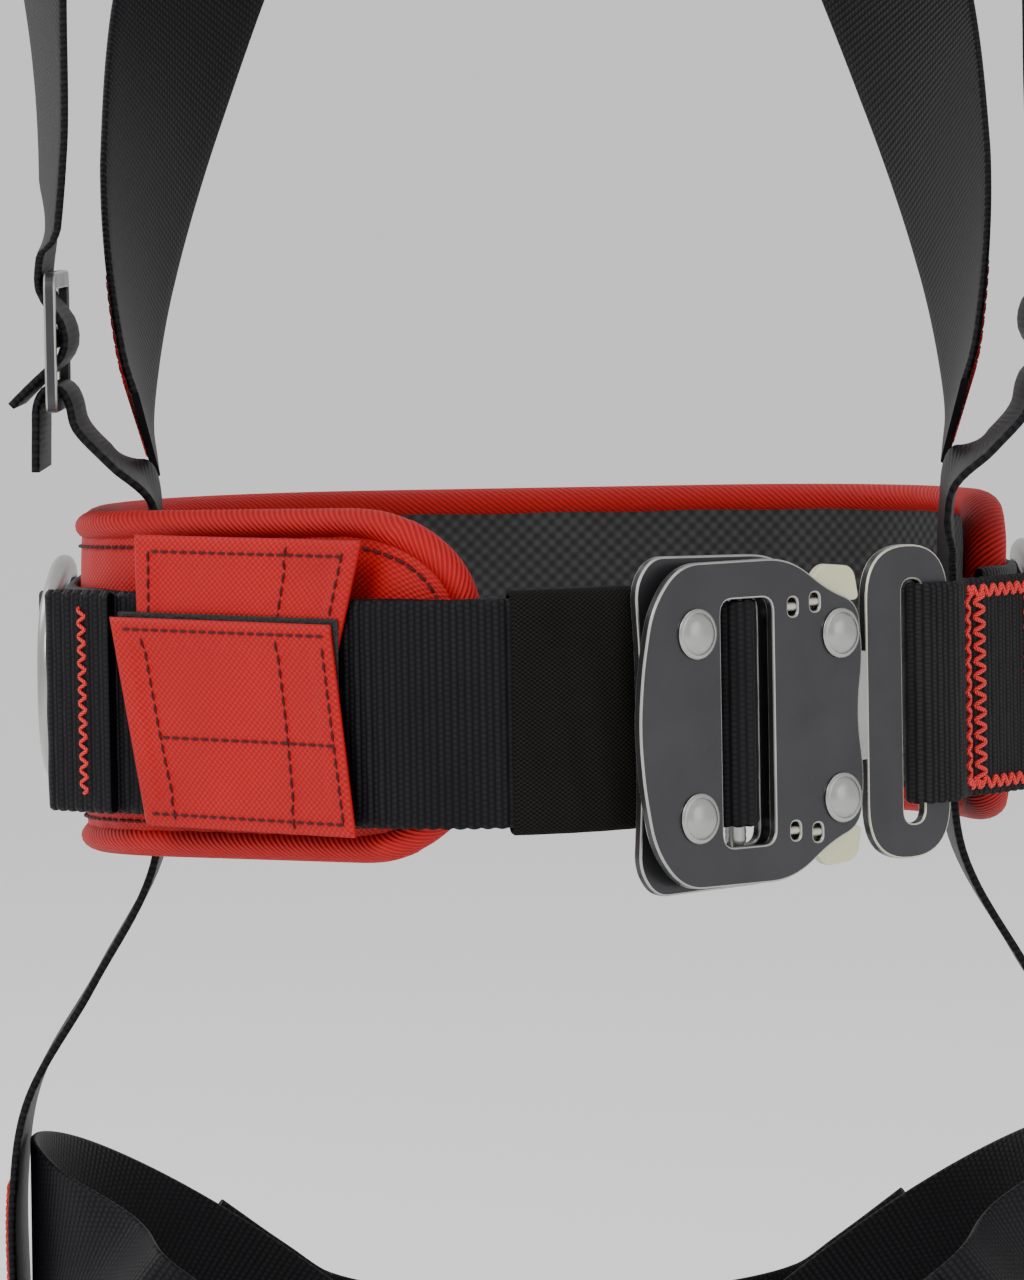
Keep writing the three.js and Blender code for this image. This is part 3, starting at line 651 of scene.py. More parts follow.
@dataclass
class Ribbon:
    """A band's centre line with its width and outward directions."""

    points: np.ndarray
    wide: np.ndarray
    facing: float = 1.0

    def __post_init__(self) -> None:
        """Squares the width to the line, and works out the outward direction and the length so far."""
        along = unit(np.gradient(self.points, axis=0))
        wide = self.wide - along * np.sum(self.wide * along, axis=1, keepdims=True)
        self.wide = unit(wide)
        self.out = np.cross(along, self.wide) * self.facing
        self.s = np.concatenate([[0], np.cumsum(np.linalg.norm(np.diff(self.points, axis=0), axis=1))])

    @property
    def length(self) -> float:
        """Its whole length."""
        return float(self.s[-1])

    def at(self, s: np.ndarray, w: np.ndarray, o: np.ndarray) -> np.ndarray:
        """Places on the band.

        Args:
            s: Lengths along.
            w: Heights across.
            o: Distances out.
        Returns:
            Points in the shape of the three together.
        """
        s, w, o = np.broadcast_arrays(s, w, o)
        across = interp(s, self.s, self.wide) * w[..., None]
        outward = interp(s, self.s, self.out) * o[..., None]
        return interp(s, self.s, self.points) + across + outward

    def normal(self, s: np.ndarray) -> np.ndarray:
        """Outward directions.

        Args:
            s: Lengths along.
        Returns:
            Unit vectors.
        """
        return unit(interp(s, self.s, self.out))

    def row(self, start: tuple, end: tuple, o: float, pitch: float = 2.8, radius: float = 0.28) -> Shape:
        """Straight stitching between two places.

        Args:
            start: (s, w) of its start.
            end: (s, w) of its end.
            o: Surface height.
            pitch: Stitch spacing.
            radius: Thread radius.
        Returns:
            The stitches.
        """
        share = np.linspace(0, 1, 90)
        s = start[0] + (end[0] - start[0]) * share
        w = start[1] + (end[1] - start[1]) * share
        return stitches(self.at(s, w, o), self.normal(s), pitch, radius)

    def zigzag(self, start: tuple, end: tuple, o: float, swing: float = 1.0, period: float = 2.4,
               radius: float = 0.42) -> Shape:
        """Zigzag stitching: a wave across the line that joins two places.

        Args:
            start: (s, w) of its start.
            end: (s, w) of its end.
            o: Surface height.
            swing: Half its width.
            period: Its wavelength.
            radius: Thread radius.
        Returns:
            The thread.
        """
        a, b = np.array(start, float), np.array(end, float)
        span = np.linalg.norm(b - a)
        share = np.linspace(0, 1, int(span / period * 10) + 2)
        cross = np.array([-(b - a)[1], (b - a)[0]]) / span
        phase = share * span / period * TAU
        place = a + (b - a) * share[:, None] + cross * (swing * np.sin(phase))[:, None]
        lift = o + radius * (0.45 - 0.5 * np.abs(np.sin(phase)) ** 6)
        path = self.at(place[:, 0], place[:, 1], lift)
        return tubes(path[None], self.normal(place[:, 0])[None], radius)


def merged(*shapes: Shape) -> Shape:
    """Puts shapes together as one.

    Args:
        shapes: The shapes.
    Returns:
        One shape.
    """
    vertices, faces, base = [], [], 0
    for shape in shapes:
        vertices.append(shape.vertices)
        faces += [[corner + base for corner in face] for face in shape.faces]
        base += len(shape.vertices)
    return Shape(np.vstack(vertices), faces, np.vstack([shape.uvs for shape in shapes]))


def band(ribbon: Ribbon, stations: np.ndarray, width: float, thick: float, rows: int = 22,
         relief: float = 0.0, pitch: float = 1.35, shift: float = 0.0) -> Shape:
    """Webbing of real thickness with rounded selvedges.

    The relief is a cross rib, the absolute value of a sine along the length; every other rib's floats move
    by half a pitch, and the selvedge swells once for each rib.

    Args:
        ribbon: Its centre line.
        stations: Lengths where it is cut.
        width: Full width.
        thick: Full thickness.
        rows: Points across one face.
        relief: Rib height.
        pitch: Rib spacing.
        shift: Distance of its middle out of the centre line.
    Returns:
        The band.
    """
    half = width / 2 - thick / 2
    flat = np.linspace(-half, half, rows)
    turn = np.linspace(math.pi / 2, -math.pi / 2, 6)[1:-1]
    w = np.concatenate([flat, half + thick / 2 * np.cos(turn), flat[::-1],
                        -half - thick / 2 * np.cos(turn)])
    side = np.concatenate([np.ones(rows), np.sin(turn), -np.ones(rows), -np.sin(turn)])
    edge = np.concatenate([np.zeros(rows), np.cos(turn), np.zeros(rows), -np.cos(turn)])
    s = stations[:, None]
    ribs = np.abs(np.sin(math.pi * s / pitch))
    floats = 0.3 * np.sin(TAU * w / 1.1 + math.pi * np.floor(s / pitch))
    rise = relief * ribs * (0.8 + floats)
    points = ribbon.at(s, w + edge * relief * 1.3 * ribs, side * (thick / 2 + rise) + shift)
    return grid(points, stations, np.append(w, w[0]), close_v=True, caps=True)


def show(name: str, shape: Shape, finish: object, body: str, replaces: tuple = (),
         edge: object = None, crease: float | None = None) -> bpy.types.Object:
    """Makes a piece, gives it its finish and ties it to its body.

    Args:
        name: Piece name.
        shape: Its shape in millimetres.
        finish: Main finish.
        body: The body it moves with.
        replaces: Frame nodes it stands for.
        edge: Finish of its edge faces.
        crease: Angle in degrees beyond which an edge stays sharp; small for plates unless given.
    Returns:
        The object.
    """
    mesh = bpy.data.meshes.new(name)
    mesh.from_pydata((shape.vertices * MM).tolist(), [], shape.faces)
    if shape.uvs is not None:
        mesh.uv_layers.new(name="Lengths").data.foreach_set("uv", shape.uvs.astype(np.float32).ravel())
    mesh.materials.append(finish.material())
    if edge:
        mesh.materials.append(edge.material())
        mesh.polygons.foreach_set("material_index", np.array(shape.finishes, np.int32))
    mesh.polygons.foreach_set("use_smooth", np.ones(len(mesh.polygons), bool))
    work = bmesh.new()
    work.from_mesh(mesh)
    bmesh.ops.recalc_face_normals(work, faces=work.faces)
    work.to_mesh(mesh)
    work.free()
    mesh.set_sharp_from_angle(angle=math.radians(crease or (PLATE_CREASE if edge else SOFT_CREASE)))
    item = bpy.data.objects.new(name, mesh)
    bpy.context.scene.collection.objects.link(item)
    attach(item, body)
    if replaces:
        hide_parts(*replaces)
    LOG.info("%s: %d faces", name, len(shape.faces))
    return item


def place(x: float, y: float, z: float, turn: float = 0.0, tilt: float = 0.0) -> Matrix:
    """A local frame.

    Args:
        x: Origin X.
        y: Origin Y.
        z: Origin Z.
        turn: Degrees about Z.
        tilt: Radians about Y.
    Returns:
        The matrix.
    """
    turned = Matrix.Rotation(math.radians(turn), 4, "Z")
    return Matrix.Translation((x, y, z)) @ turned @ Matrix.Rotation(tilt, 4, "Y")


def locate(matrix: Matrix, points: list) -> list:
    """Moves route points out of a local frame.

    Args:
        matrix: The frame.
        points: Local points.
    Returns:
        Points in the shared frame.
    """
    return [tuple(matrix @ Vector(point)) for point in points]


# ---------------------------------------------------------------- the waist path
AROUND = walk(NOSE, 180, (*SIDE_LEGS, (0, 47, -36)))
TO_BUCKLE = walk(NOSE, 0, ((0, FRONT_RADIUS, FRONT_TURN),), 0.5)
TAIL_PLAN = walk(NOSE, 180, (SIDE_LEGS[0], SIDE_LEGS[1], (TAIL_FREE, 0, 0)), 0.5)
BUCKLE = place(*BUCKLE_ORIGIN, turn=FRONT_TURN)
FLAPS = place(*FLAP_ORIGIN, turn=180 - SIDE_TURN)


def shifted(plan: np.ndarray, left: float, z: float = 0.0) -> np.ndarray:
    """Moves plan samples sideways.

    Args:
        plan: Rows of (x, y, heading).
        left: Distance to the left of the heading.
        z: Height.
    Returns:
        Points.
    """
    x = plan[:, 0] - left * np.sin(plan[:, 2])
    y = plan[:, 1] + left * np.cos(plan[:, 2])
    return np.stack([x, y, np.full(len(plan), z)], axis=1)


def upright(points: np.ndarray, facing: float = 1.0) -> Ribbon:
    """A ribbon whose width is vertical.

    Args:
        points: Centre line.
        facing: 1 or -1 for its outward side.
    Returns:
        The ribbon.
    """
    return Ribbon(points, np.repeat(UP[None], len(points), axis=0), facing)


def at_buckle(u: float, n: float, z: float) -> tuple:
    """A point beside the buckle.

    Args:
        u: Along the buckle.
        n: Out of its middle plane.
        z: Height in the shared frame.
    Returns:
        The point.
    """
    return tuple(BUCKLE @ Vector((u, -n, z - BUCKLE_ORIGIN[2])))


class WaistBelt:
    """The belt webbing with its folded tail, the elastic keeper and the tab's webbing."""

    FOLD = 17.0
    FOLD_RISE = 1.15
    FINE = 0.27
    COARSE = 2.4

    def route(self) -> tuple:
        """The belt's whole centre line, from the tail's folded edge to the far end.

        Returns:
            The points and how many belong to the finely ribbed part.
        """
        tail = shifted(TAIL_PLAN, -1.0)[::-1]
        ends = TAIL_PLAN[-1]
        fold_plan = walk((ends[0], ends[1]), math.degrees(ends[2]) + 180, ((self.FOLD, 0, 0),), 0.5)[::-1]
        fold = shifted(fold_plan, -self.FOLD_RISE)
        ahead = np.array([math.cos(ends[2]), math.sin(ends[2]), 0.0])
        left = np.array([-math.sin(ends[2]), math.cos(ends[2]), 0.0])
        middle = np.array([ends[0], ends[1], 0.0]) + left * (self.FOLD_RISE - 1.0) / 2
        angles = np.linspace(math.pi / 2, -math.pi / 2, 9)[1:-1, None]
        radius = (self.FOLD_RISE + 1.0) / 2
        bend = middle + radius * (np.sin(angles) * left + np.cos(angles) * ahead)
        front = shifted(TO_BUCKLE[1:], 1.0)
        wrap = [at_buckle(12, -6.8, -0.6), at_buckle(19.4, -6.6, -1.4), at_buckle(23.6, -5.2, -2)]
        for angle in np.radians(np.linspace(195, -10, 10)):
            wrap.append(at_buckle(28.3 + 3.6 * math.cos(angle), -1 + 3.6 * math.sin(angle), -2))
        wrap += [at_buckle(31.2, -6.2, -2), at_buckle(28.2, -8.5, -2), at_buckle(23, -9.2, -1.4),
                 at_buckle(14, -9.2, -0.6)]
        main_front = shifted(TO_BUCKLE[1:], 3.4)[::-1]
        main_around = shifted(AROUND, -3.4)
        fine = np.vstack([fold, bend, tail, front, spline(wrap, 8)])
        return np.vstack([fine, main_front, main_around]), len(fine)

    def build(self) -> None:
        """Makes the belt, its stitching and the keeper."""
        points, fine_count = self.route()
        ribbon = upright(points)
        fine_end = ribbon.s[fine_count - 1]
        stations = np.concatenate([np.arange(0, fine_end, self.FINE),
                                   np.arange(fine_end, ribbon.length, self.COARSE), [ribbon.length]])
        shape = band(ribbon, stations, BELT_WIDTH, BELT_THICK, relief=RIB_RELIEF, pitch=RIB_PITCH)
        show("belt_webbing_woven", shape, WEBBING, "harness", ("belt_webbing",))
        tail = upright(shifted(TAIL_PLAN, 0), -1)
        seam = tail.length - 9.6
        thread = tail.zigzag((seam, -18.5), (seam, 19), 2.35, 0.9, 2.7, 0.4)
        show("tail_seam", thread, RED_THREAD, "harness")
        self.keeper()

    def keeper(self) -> None:
        """The elastic keeper: an open sleeve, made as a closed skin that turns over its lips."""
        plan = TO_BUCKLE[(TO_BUCKLE[:, 2] > math.radians(9)) & (TO_BUCKLE[:, 2] < math.radians(40.5))]
        ribbon = upright(shifted(plan, 2.2))
        length = ribbon.length
        out_s = np.linspace(0.6, length - 0.6, 60)
        stations = [(s, 1.0) for s in out_s] + [(length - 0.15, 0.75), (length, 0.4), (length - 0.2, 0.1)]
        stations += [(s, 0.0) for s in out_s[::-4]] + [(0.2, 0.1), (0.0, 0.4), (0.15, 0.75)]
        outer = rounded([(-23.9, -4, 3.4), (23.9, -4, 3.4), (23.9, 4, 3.4), (-23.9, 4, 3.4)], 8)
        inner = rounded([(-22.7, -2.6, 2), (22.7, -2.6, 2), (22.7, 2.6, 2), (-22.7, 2.6, 2)], 8)
        dense = np.linspace(0, 1, 90, endpoint=False)
        loops = []
        for loop in (outer, inner):
            closed = np.vstack([loop, loop[:1]])
            s = np.concatenate([[0], np.cumsum(np.linalg.norm(np.diff(closed, axis=0), axis=1))])
            loops.append(interp(dense * s[-1], s, closed))
        rows = []
        for s, share in stations:
            loop = loops[1] + (loops[0] - loops[1]) * share
            pucker = 0.12 * share * np.sin(s * 0.9 + loop[:, 0] * 0.12)
            rows.append(ribbon.at(s, loop[:, 0], loop[:, 1] + pucker * np.sign(loop[:, 1])))
        points = np.stack(rows)
        u = np.array([s for s, _ in stations] + [stations[0][0]])
        shape = grid(points, u, np.linspace(0, 104, len(dense) + 1), close_u=True, close_v=True)
        show("elastic_keeper_sleeve", shape, ELASTIC, "keeper", ("elastic_keeper",))

    def tab_webbing(self) -> None:
        """The webbing sewn through the tab, with its heavy red box stitch."""
        loop = [(88.5, -4.4), (85, -3.2), (80, -2.8), (77.4, -2), (76.3, 0), (77.4, 2), (80, 2.8),
                (85.4, 2.9), (88.6, 0.9), (92, -2)]
        run = walk((0, 0), 0, ((3, 0, 0), (0, 16, 13), (20, 0, 0)))
        lap = [(96 + x, -4.2 - y) for x, y, _ in run[::3]]
        ribbon = upright(spline([at_buckle(u, n, -0.9) for u, n in loop + lap], 6))
        stations = np.arange(0, ribbon.length, self.FINE)
        shape = band(ribbon, stations, STRAP_WIDTH, TAB_THICK, relief=RIB_RELIEF, pitch=RIB_PITCH)
        show("tab_webbing_woven", shape, FUZZY, "tab_end", ("tab_webbing",))
        start = ribbon.length - 29
        end = ribbon.length - 6
        rows = [ribbon.zigzag((s, -19.5), (s, 19.5), 1.1, 1.3, 3.0, 0.5)
                for s in (start, start + 5.5, end)]
        rows += [ribbon.zigzag((start, w), (end, w), 1.1, 1.0, 3.0, 0.5) for w in (-19.5, 19.5)]
        show("tab_box_stitch", merged(*rows), RED_THREAD, "tab_end")


class Pad:
    """The padded waist band: two cloth faces over foam, a rolled border and a row of stitches inside it."""

    ROLL = 3.2
    ROLL_DEPTH = 4.5
    RISE = ((-85.0, 5.0), (0.0, 2.0))

    def __init__(self) -> None:
        """Lays the pad's middle line round the waist, half a pad inside the belt."""
        start = walk(NOSE, 0, ((0, FRONT_RADIUS, 4),))[::-1]
        start[:, 2] += math.pi
        plan = np.vstack([start, walk(NOSE, 180, (*SIDE_LEGS, (0, 47, -16)))[1:]])
        points = shifted(plan, -PAD_DEPTH - PAD_THICK / 2)
        points[:, 2] = np.interp(points[:, 1], *np.array(self.RISE).T)
        self.ribbon = upright(points, -1)

    def half(self, s: np.ndarray) -> np.ndarray:
        """Half its height: full in the middle, falling along a quarter circle at both ends.

        Args:
            s: Lengths along.
        Returns:
            Half heights.
        """
        near = np.clip(np.minimum(s, self.ribbon.length - s), 0, PAD_END) / PAD_END
        return PAD_HALF * (0.38 + 0.62 * np.sqrt(1 - (1 - near) ** 2))

    def outline(self, inset: float) -> np.ndarray:
        """The closed outline in (s, w), set in from the edge.

        Args:
            inset: Distance in.
        Returns:
            Places every 1.2 mm.
        """
        length = self.ribbon.length
        s = np.concatenate([np.linspace(0, PAD_END, 40),
                            np.linspace(PAD_END, length - PAD_END, 300)[1:-1],
                            np.linspace(length - PAD_END, length, 40)])
        top = np.stack([s, self.half(s)], axis=1)
        low = np.stack([s[::-1], -self.half(s[::-1])], axis=1)
        loop = np.vstack([top, low, top[:1]])
        run = np.concatenate([[0], np.cumsum(np.linalg.norm(np.diff(loop, axis=0), axis=1))])
        even = interp(np.arange(0, run[-1], 1.2), run, loop)
        kernel = np.ones(9) / 9
        eased = np.stack([np.convolve(np.concatenate([even[-4:, axis], even[:, axis], even[:4, axis]]),
                                      kernel, "valid")
                          for axis in range(2)], axis=1)
        ahead = unit(np.roll(eased, -1, axis=0) - np.roll(eased, 1, axis=0))
        return eased + np.stack([ahead[:, 1], -ahead[:, 0]], axis=1) * inset

    def build(self) -> None:
        """Makes the body, border and stitching."""
        length = self.ribbon.length
        s = np.concatenate([np.linspace(2.6, PAD_END, 26),
                            np.linspace(PAD_END, length - PAD_END, 330)[1:-1],
                            np.linspace(length - PAD_END, length - 2.6, 26)])
        share = np.sin(np.linspace(-math.pi / 2, math.pi / 2, 34))
        half = (self.half(s) - 2.4)[:, None]
        w = half * share
        crown = 1 - 0.30 * np.abs(share) ** 5
        front = PAD_THICK / 2 * crown + 0.28 * np.sin(w * 0.16 + 2) * np.sin(s[:, None] * 0.11)
        front = front + 0.10 * np.sin(s[:, None] * 0.74) * smooth_step(0.55, 0.95, np.abs(share)) - 0.25
        back = -PAD_THICK / 2 * crown - 0.2 * np.sin(s[:, None] * 0.21)
        columns = np.concatenate([w, w[:, ::-1]], axis=1)
        outs = np.concatenate([front, back[:, ::-1]], axis=1)
        points = self.ribbon.at(s[:, None], columns, outs)
        across = share * PAD_HALF
        shape = grid(points, s, np.concatenate([across, across[::-1], across[:1]]), close_v=True,
                     caps=True)
        count = len(s) - 1
        column = np.tile(np.arange(68), count)
        shape.finishes = [1 if 34 <= value < 67 else 0 for value in column] + [0, 0]
        body = show("waist_pad_cushion", shape, RED, "harness", ("waist_pad",), edge=LINING,
                    crease=80)
        loop = self.outline(self.ROLL)
        path = self.ribbon.at(loop[:, 0], loop[:, 1], 0)
        out = self.ribbon.normal(loop[:, 0])
        along = unit(np.roll(path, -1, axis=0) - np.roll(path, 1, axis=0))
        side = unit(np.cross(along, out))
        angle = np.linspace(0, TAU, 20, endpoint=False)[:, None]
        section = side[:, None] * np.cos(angle) * self.ROLL + out[:, None] * np.sin(angle) * self.ROLL_DEPTH
        run = np.arange(len(loop) + 1) * 1.2
        roll = grid(path[:, None] + section, run, np.linspace(0, 24, 21), close_u=True, close_v=True)
        show("pad_border", roll, BINDING, "harness")
        inner = self.outline(2 * self.ROLL + 0.9)
        line = self.ribbon.at(inner[:, 0], inner[:, 1], PAD_THICK / 2 * 0.86)
        thread = stitches(line, self.ribbon.normal(inner[:, 0]), 2.8, 0.34)
        show("pad_border_stitches", thread, DARK_THREAD, "harness")


class Flaps:
    """The pair of cloth flaps that close over the tail: t runs along the side, z is up, o is outward."""

    def cloth(self, corners: tuple, low: float, thick: float, seed: float) -> tuple:
        """A hemmed four-sided cloth: the hem is one layer thicker and puckers along its stitching.

        Args:
            corners: (t, z) from the lower front corner round.
            low: Height of its back.
            thick: Cloth thickness.
            seed: Shifts the waves.
        Returns:
            The shape and a function from (t share, z share) to a point on its face.
        """
        a, b, c, d = (np.array(corner, float) for corner in corners)
        share_t = np.linspace(0, 1, 72)[:, None]
        share_z = np.linspace(0, 1, 56)[None]

        def surface(share_u: np.ndarray, share_v: np.ndarray) -> tuple:
            """Gives the flat place, the height over it and the distance to the nearest edge."""
            lower = a + (b - a) * share_u[..., None]
            upper = d + (c - d) * share_u[..., None]
            flat = lower + (upper - lower) * share_v[..., None]
            edge_t = np.minimum(share_u, 1 - share_u) * 60
            edge_z = np.minimum(share_v, 1 - share_v) * 41
            edge = np.minimum(edge_t, edge_z)
            hem = 0.45 * (1 - smooth_step(4.6, 6.4, edge))
            ripple = 0.11 * np.sin(flat[..., 0] * 1.3 + seed) * np.sin(flat[..., 1] * 1.1)
            pucker = ripple * np.exp(-((edge - 5) / 3) ** 2)
            wave = 0.35 * np.sin(flat[..., 0] * 0.13 + seed) * np.sin(flat[..., 1] * 0.12 + seed)
            return flat, low + thick + hem + pucker + wave * smooth_step(0, 12, edge), edge

        share_u, share_v = np.broadcast_arrays(share_t, share_z)
        flat, top, edge = surface(share_u, share_v)
        rounding = 0.55 * (1 - smooth_step(0, 1.0, edge))
        front = np.stack([flat[..., 0], top - rounding, flat[..., 1]], axis=-1)
        back = np.stack([flat[..., 0], low + rounding, flat[..., 1]], axis=-1)
        points = np.concatenate([front, back[:, ::-1]], axis=1)
        z_run = np.linspace(0, 41, 56)
        shape = grid(points, np.linspace(0, 61, 72), np.concatenate([z_run, z_run[::-1], z_run[:1]]),
                     close_v=True)
        rows, columns = points.shape[:2]
        half = columns // 2
        for row in (0, rows - 1):
            start = row * columns
            strip = [[start + j, start + j + 1, start + columns - 2 - j, start + columns - 1 - j]
                     for j in range(half - 1)]
            shape.faces += strip
            shape.uvs = np.vstack([shape.uvs,
                                   *[[(0, j), (0, j + 1), (1.4, j + 1), (1.4, j)]
                                     for j in range(half - 1)]])
        return shape, surface

    def row(self, surface: object, start: tuple, end: tuple) -> Shape:
        """Stitches between two places on a flap.

        Args:
            surface: The flap's surface.
            start: Shares (t, z).
            end: Shares (t, z).
        Returns:
            The stitches.
        """
        share = np.linspace(0, 1, 120)
        share_u = start[0] + (end[0] - start[0]) * share
        share_v = start[1] + (end[1] - start[1]) * share
        flat, top, _ = surface(share_u, share_v)
        line = np.stack([flat[:, 0], top, flat[:, 1]], axis=1)
        return stitches(line, np.repeat([[0.0, 1.0, 0.0]], 120, axis=0), 2.7, 0.3)

    def build(self) -> None:
        """Makes both flaps, their hems and the hook tape."""
        upper_corners = ((7.5, -6), (57.0, -6), (57.5, 34), (-5.5, 34))
        shape, surface = self.cloth(upper_corners, 0.4, 1.2, 0.4)
        upper = show("flap_upper_cloth", shape.placed(FLAPS), RED, "upper_flap",
                     ("flap_upper",), crease=60)
        rows = [self.row(surface, (0.05, 0.92), (0.95, 0.92)),
                self.row(surface, (0.31, 0.05), (0.31, 0.97)),
                self.row(surface, (0.93, 0.05), (0.93, 0.97)),
                self.row(surface, (0.06, 0.3), (0.06, 0.97))]
        show("flap_upper_stitches", merged(*rows).placed(FLAPS), DARK_THREAD, "upper_flap")
        lower_corners = ((-4.5, -24), (53.5, -24), (63, 17.5), (1.5, 17.5))
        shape, surface = self.cloth(lower_corners, 2.5, 1.2, 2.1)
        lower = show("flap_lower_cloth", shape.placed(FLAPS), RED, "lower_flap",
                     ("flap_lower",), crease=60)
        rows = [self.row(surface, (0.02, 0.945), (0.98, 0.945)),
                self.row(surface, (0.27, 0.02), (0.24, 0.94)),
                self.row(surface, (0.84, 0.03), (0.86, 0.94)),
                self.row(surface, (0.03, 0.43), (0.85, 0.43)),
                self.row(surface, (0.03, 0.06), (0.97, 0.06)),
                self.row(surface, (0.035, 0.06), (0.035, 0.94))]
        show("flap_lower_stitches", merged(*rows).placed(FLAPS), DARK_THREAD, "lower_flap")
        tape = plate(rounded([(0.4, -2, 0.5), (56, -2, 0.5), (62, 18.6, 0.8), (0.2, 18.6, 0.8)]), [],
                     -2.5, -2.25, 0.08)
        show("flap_hook_tape", tape.placed(FLAPS), HOOK, "lower_flap")


class Buckle:
    """The quick-connect buckle on the belt: two plates, rivets, bar and levers, and the male tab."""

    FRONT = ((0.6, -12, 4), (3.2, -24, 6), (10.5, -32, 9), (40, -32, 8), (50.5, -25.2, 5),
             (58.5, -22.4, 5), (59.6, -12, 4), (57.8, 0, 8), (59.6, 12, 4), (58.5, 22.4, 5),
             (50.5, 25.2, 5), (40, 32, 8), (10.5, 32, 9), (3.2, 24, 6), (0.6, 12, 4), (-0.6, 0, 10))
    BACK = ((4.2, -14, 4), (3.2, -28, 7), (7.5, -33.4, 6), (40, -32.6, 8), (50.5, -25.6, 5),
            (58.5, -22, 5), (59.2, -12, 4), (57.8, 0, 8), (59.2, 12, 4), (58.5, 22, 5), (50.5, 25.6, 5),
            (40, 32.6, 8), (7.5, 33.4, 6), (3.2, 28, 7), (4.2, 14, 4))
    LEVER = ((45, 14.8, 0), (50, 14.8, 0.8), (50, 22.6, 0.6), (61, 22.6, 1.5), (59.6, 29.4, 2.5),
             (51, 30.2, 2), (45, 24, 1), (45, 17.4, 0), (38.8, 17.4, 0.4), (38.8, 14.8, 0.4))

    def build(self) -> None:
        """Makes every piece of the buckle."""
        window = box(21.3, 35.2, -24.4, 24.4, 3)
        shafts = [disc(u, z, 2.6) for u, z in RIVETS]
        slots = [box(u - 1.25, u + 1.25, side * z - 1.8, side * z + 1.8, 1.2)
                 for side in (-1, 1) for u, z in SLOTS]
        sides = (("front", self.FRONT, [window, *shafts, *slots], 1.4, 3.4),
                 ("back", self.BACK, [window, *shafts], -3.4, -1.4))
        for name, outline, holes, low, high in sides:
            shape = plate(rounded(outline, 9), holes, low, high, 0.38).placed(BUCKLE)
            show(f"buckle_{name}_plate_pressed", shape, COATED, "harness",
                 (f"buckle_{name}_plate",), PALE_BEVEL)
        dome = [(0, -4.6), (4, -4.6), (4, -3.6), (2.4, -3.5), (2.4, 3.5), (4.9, 3.5), (5, 3.8),
                (4.75, 4.15), (4.2, 4.3), (4.1, 4.22), (3.6, 4.75), (2.6, 5.25), (1.4, 5.55),
                (0.02, 5.65)]
        for index, (u, z) in enumerate(RIVETS):
            shape = lathe(dome, 48).placed(BUCKLE @ Matrix.Translation((u, 0, z)))
            show(f"rivet_domed_{index + 1}", shape, SATIN, "harness",
                 (f"buckle_rivet_{index + 1}",))
        upright_axis = Matrix.Rotation(math.pi / 2, 4, "X")
        grooves = [(0.02, -27.2), (1.2, -27.2)]
        grooves += [(2.05 + 0.13 * (step % 2), -23.8 + 0.7 * step) for step in range(69)]
        grooves += [(1.2, 27.2), (0.02, 27.2)]
        shape = lathe(grooves, 24).placed(BUCKLE @ Matrix.Translation((28.3, 1, 0)) @ upright_axis)
        show("adjuster_bar_knurled", shape, SATIN, "harness", ("adjuster_bar",))
        for index, (u, z) in enumerate([(u, side * z) for side in (-1, 1) for u, z in SLOTS]):
            turn = BUCKLE @ Matrix.Translation((u, -2.2, z)) @ Matrix.Rotation(math.pi / 2, 4, "Z")
            pin = lathe([(0.02, -1.8), (0.85, -1.8), (0.85, 1.8), (0.02, 1.8)], 20).placed(turn)
            show(f"slot_pin_{index + 1}", pin, CREAM_EDGE, "harness")
        for word, side in (("upper", 1), ("lower", -1)):
            outline = rounded([(u, side * z, r) for u, z, r in self.LEVER])
            shape = plate(outline, [], -1, 1, 0.3).placed(BUCKLE)
            body = "lever_up" if side > 0 else "lever_low"
            show(f"release_lever_{word}_stamped", shape, ZINC, body,
                 (f"release_lever_{word}",), ZINC)

    def tab(self) -> None:
        """The male tab with its webbing slot."""
        oblong = [(62.7, -31.6, 11.4), (85.7, -31.6, 11.4), (85.7, 31.6, 11.4), (62.7, 31.6, 11.4)]
        outline = rounded(oblong, 12)
        slot = box(72.6, 78.5, -24.6, 24.6, 2.9)
        lift = BUCKLE @ Matrix.Translation((0, 0, TAB_RISE))
        shape = plate(outline, [slot], -1.1, 1.1, 0.35).placed(lift)
        show("male_tab_oblong", shape, COATED, "tab_end", ("male_tab",), CREAM_EDGE)
        tongue = plate(box(42.5, 64.5, -11, 11, 3), [], -1.05, 1.05, 0.3).placed(lift)
        show("male_tab_tongue", tongue, SATIN, "tab_end", (), SATIN)


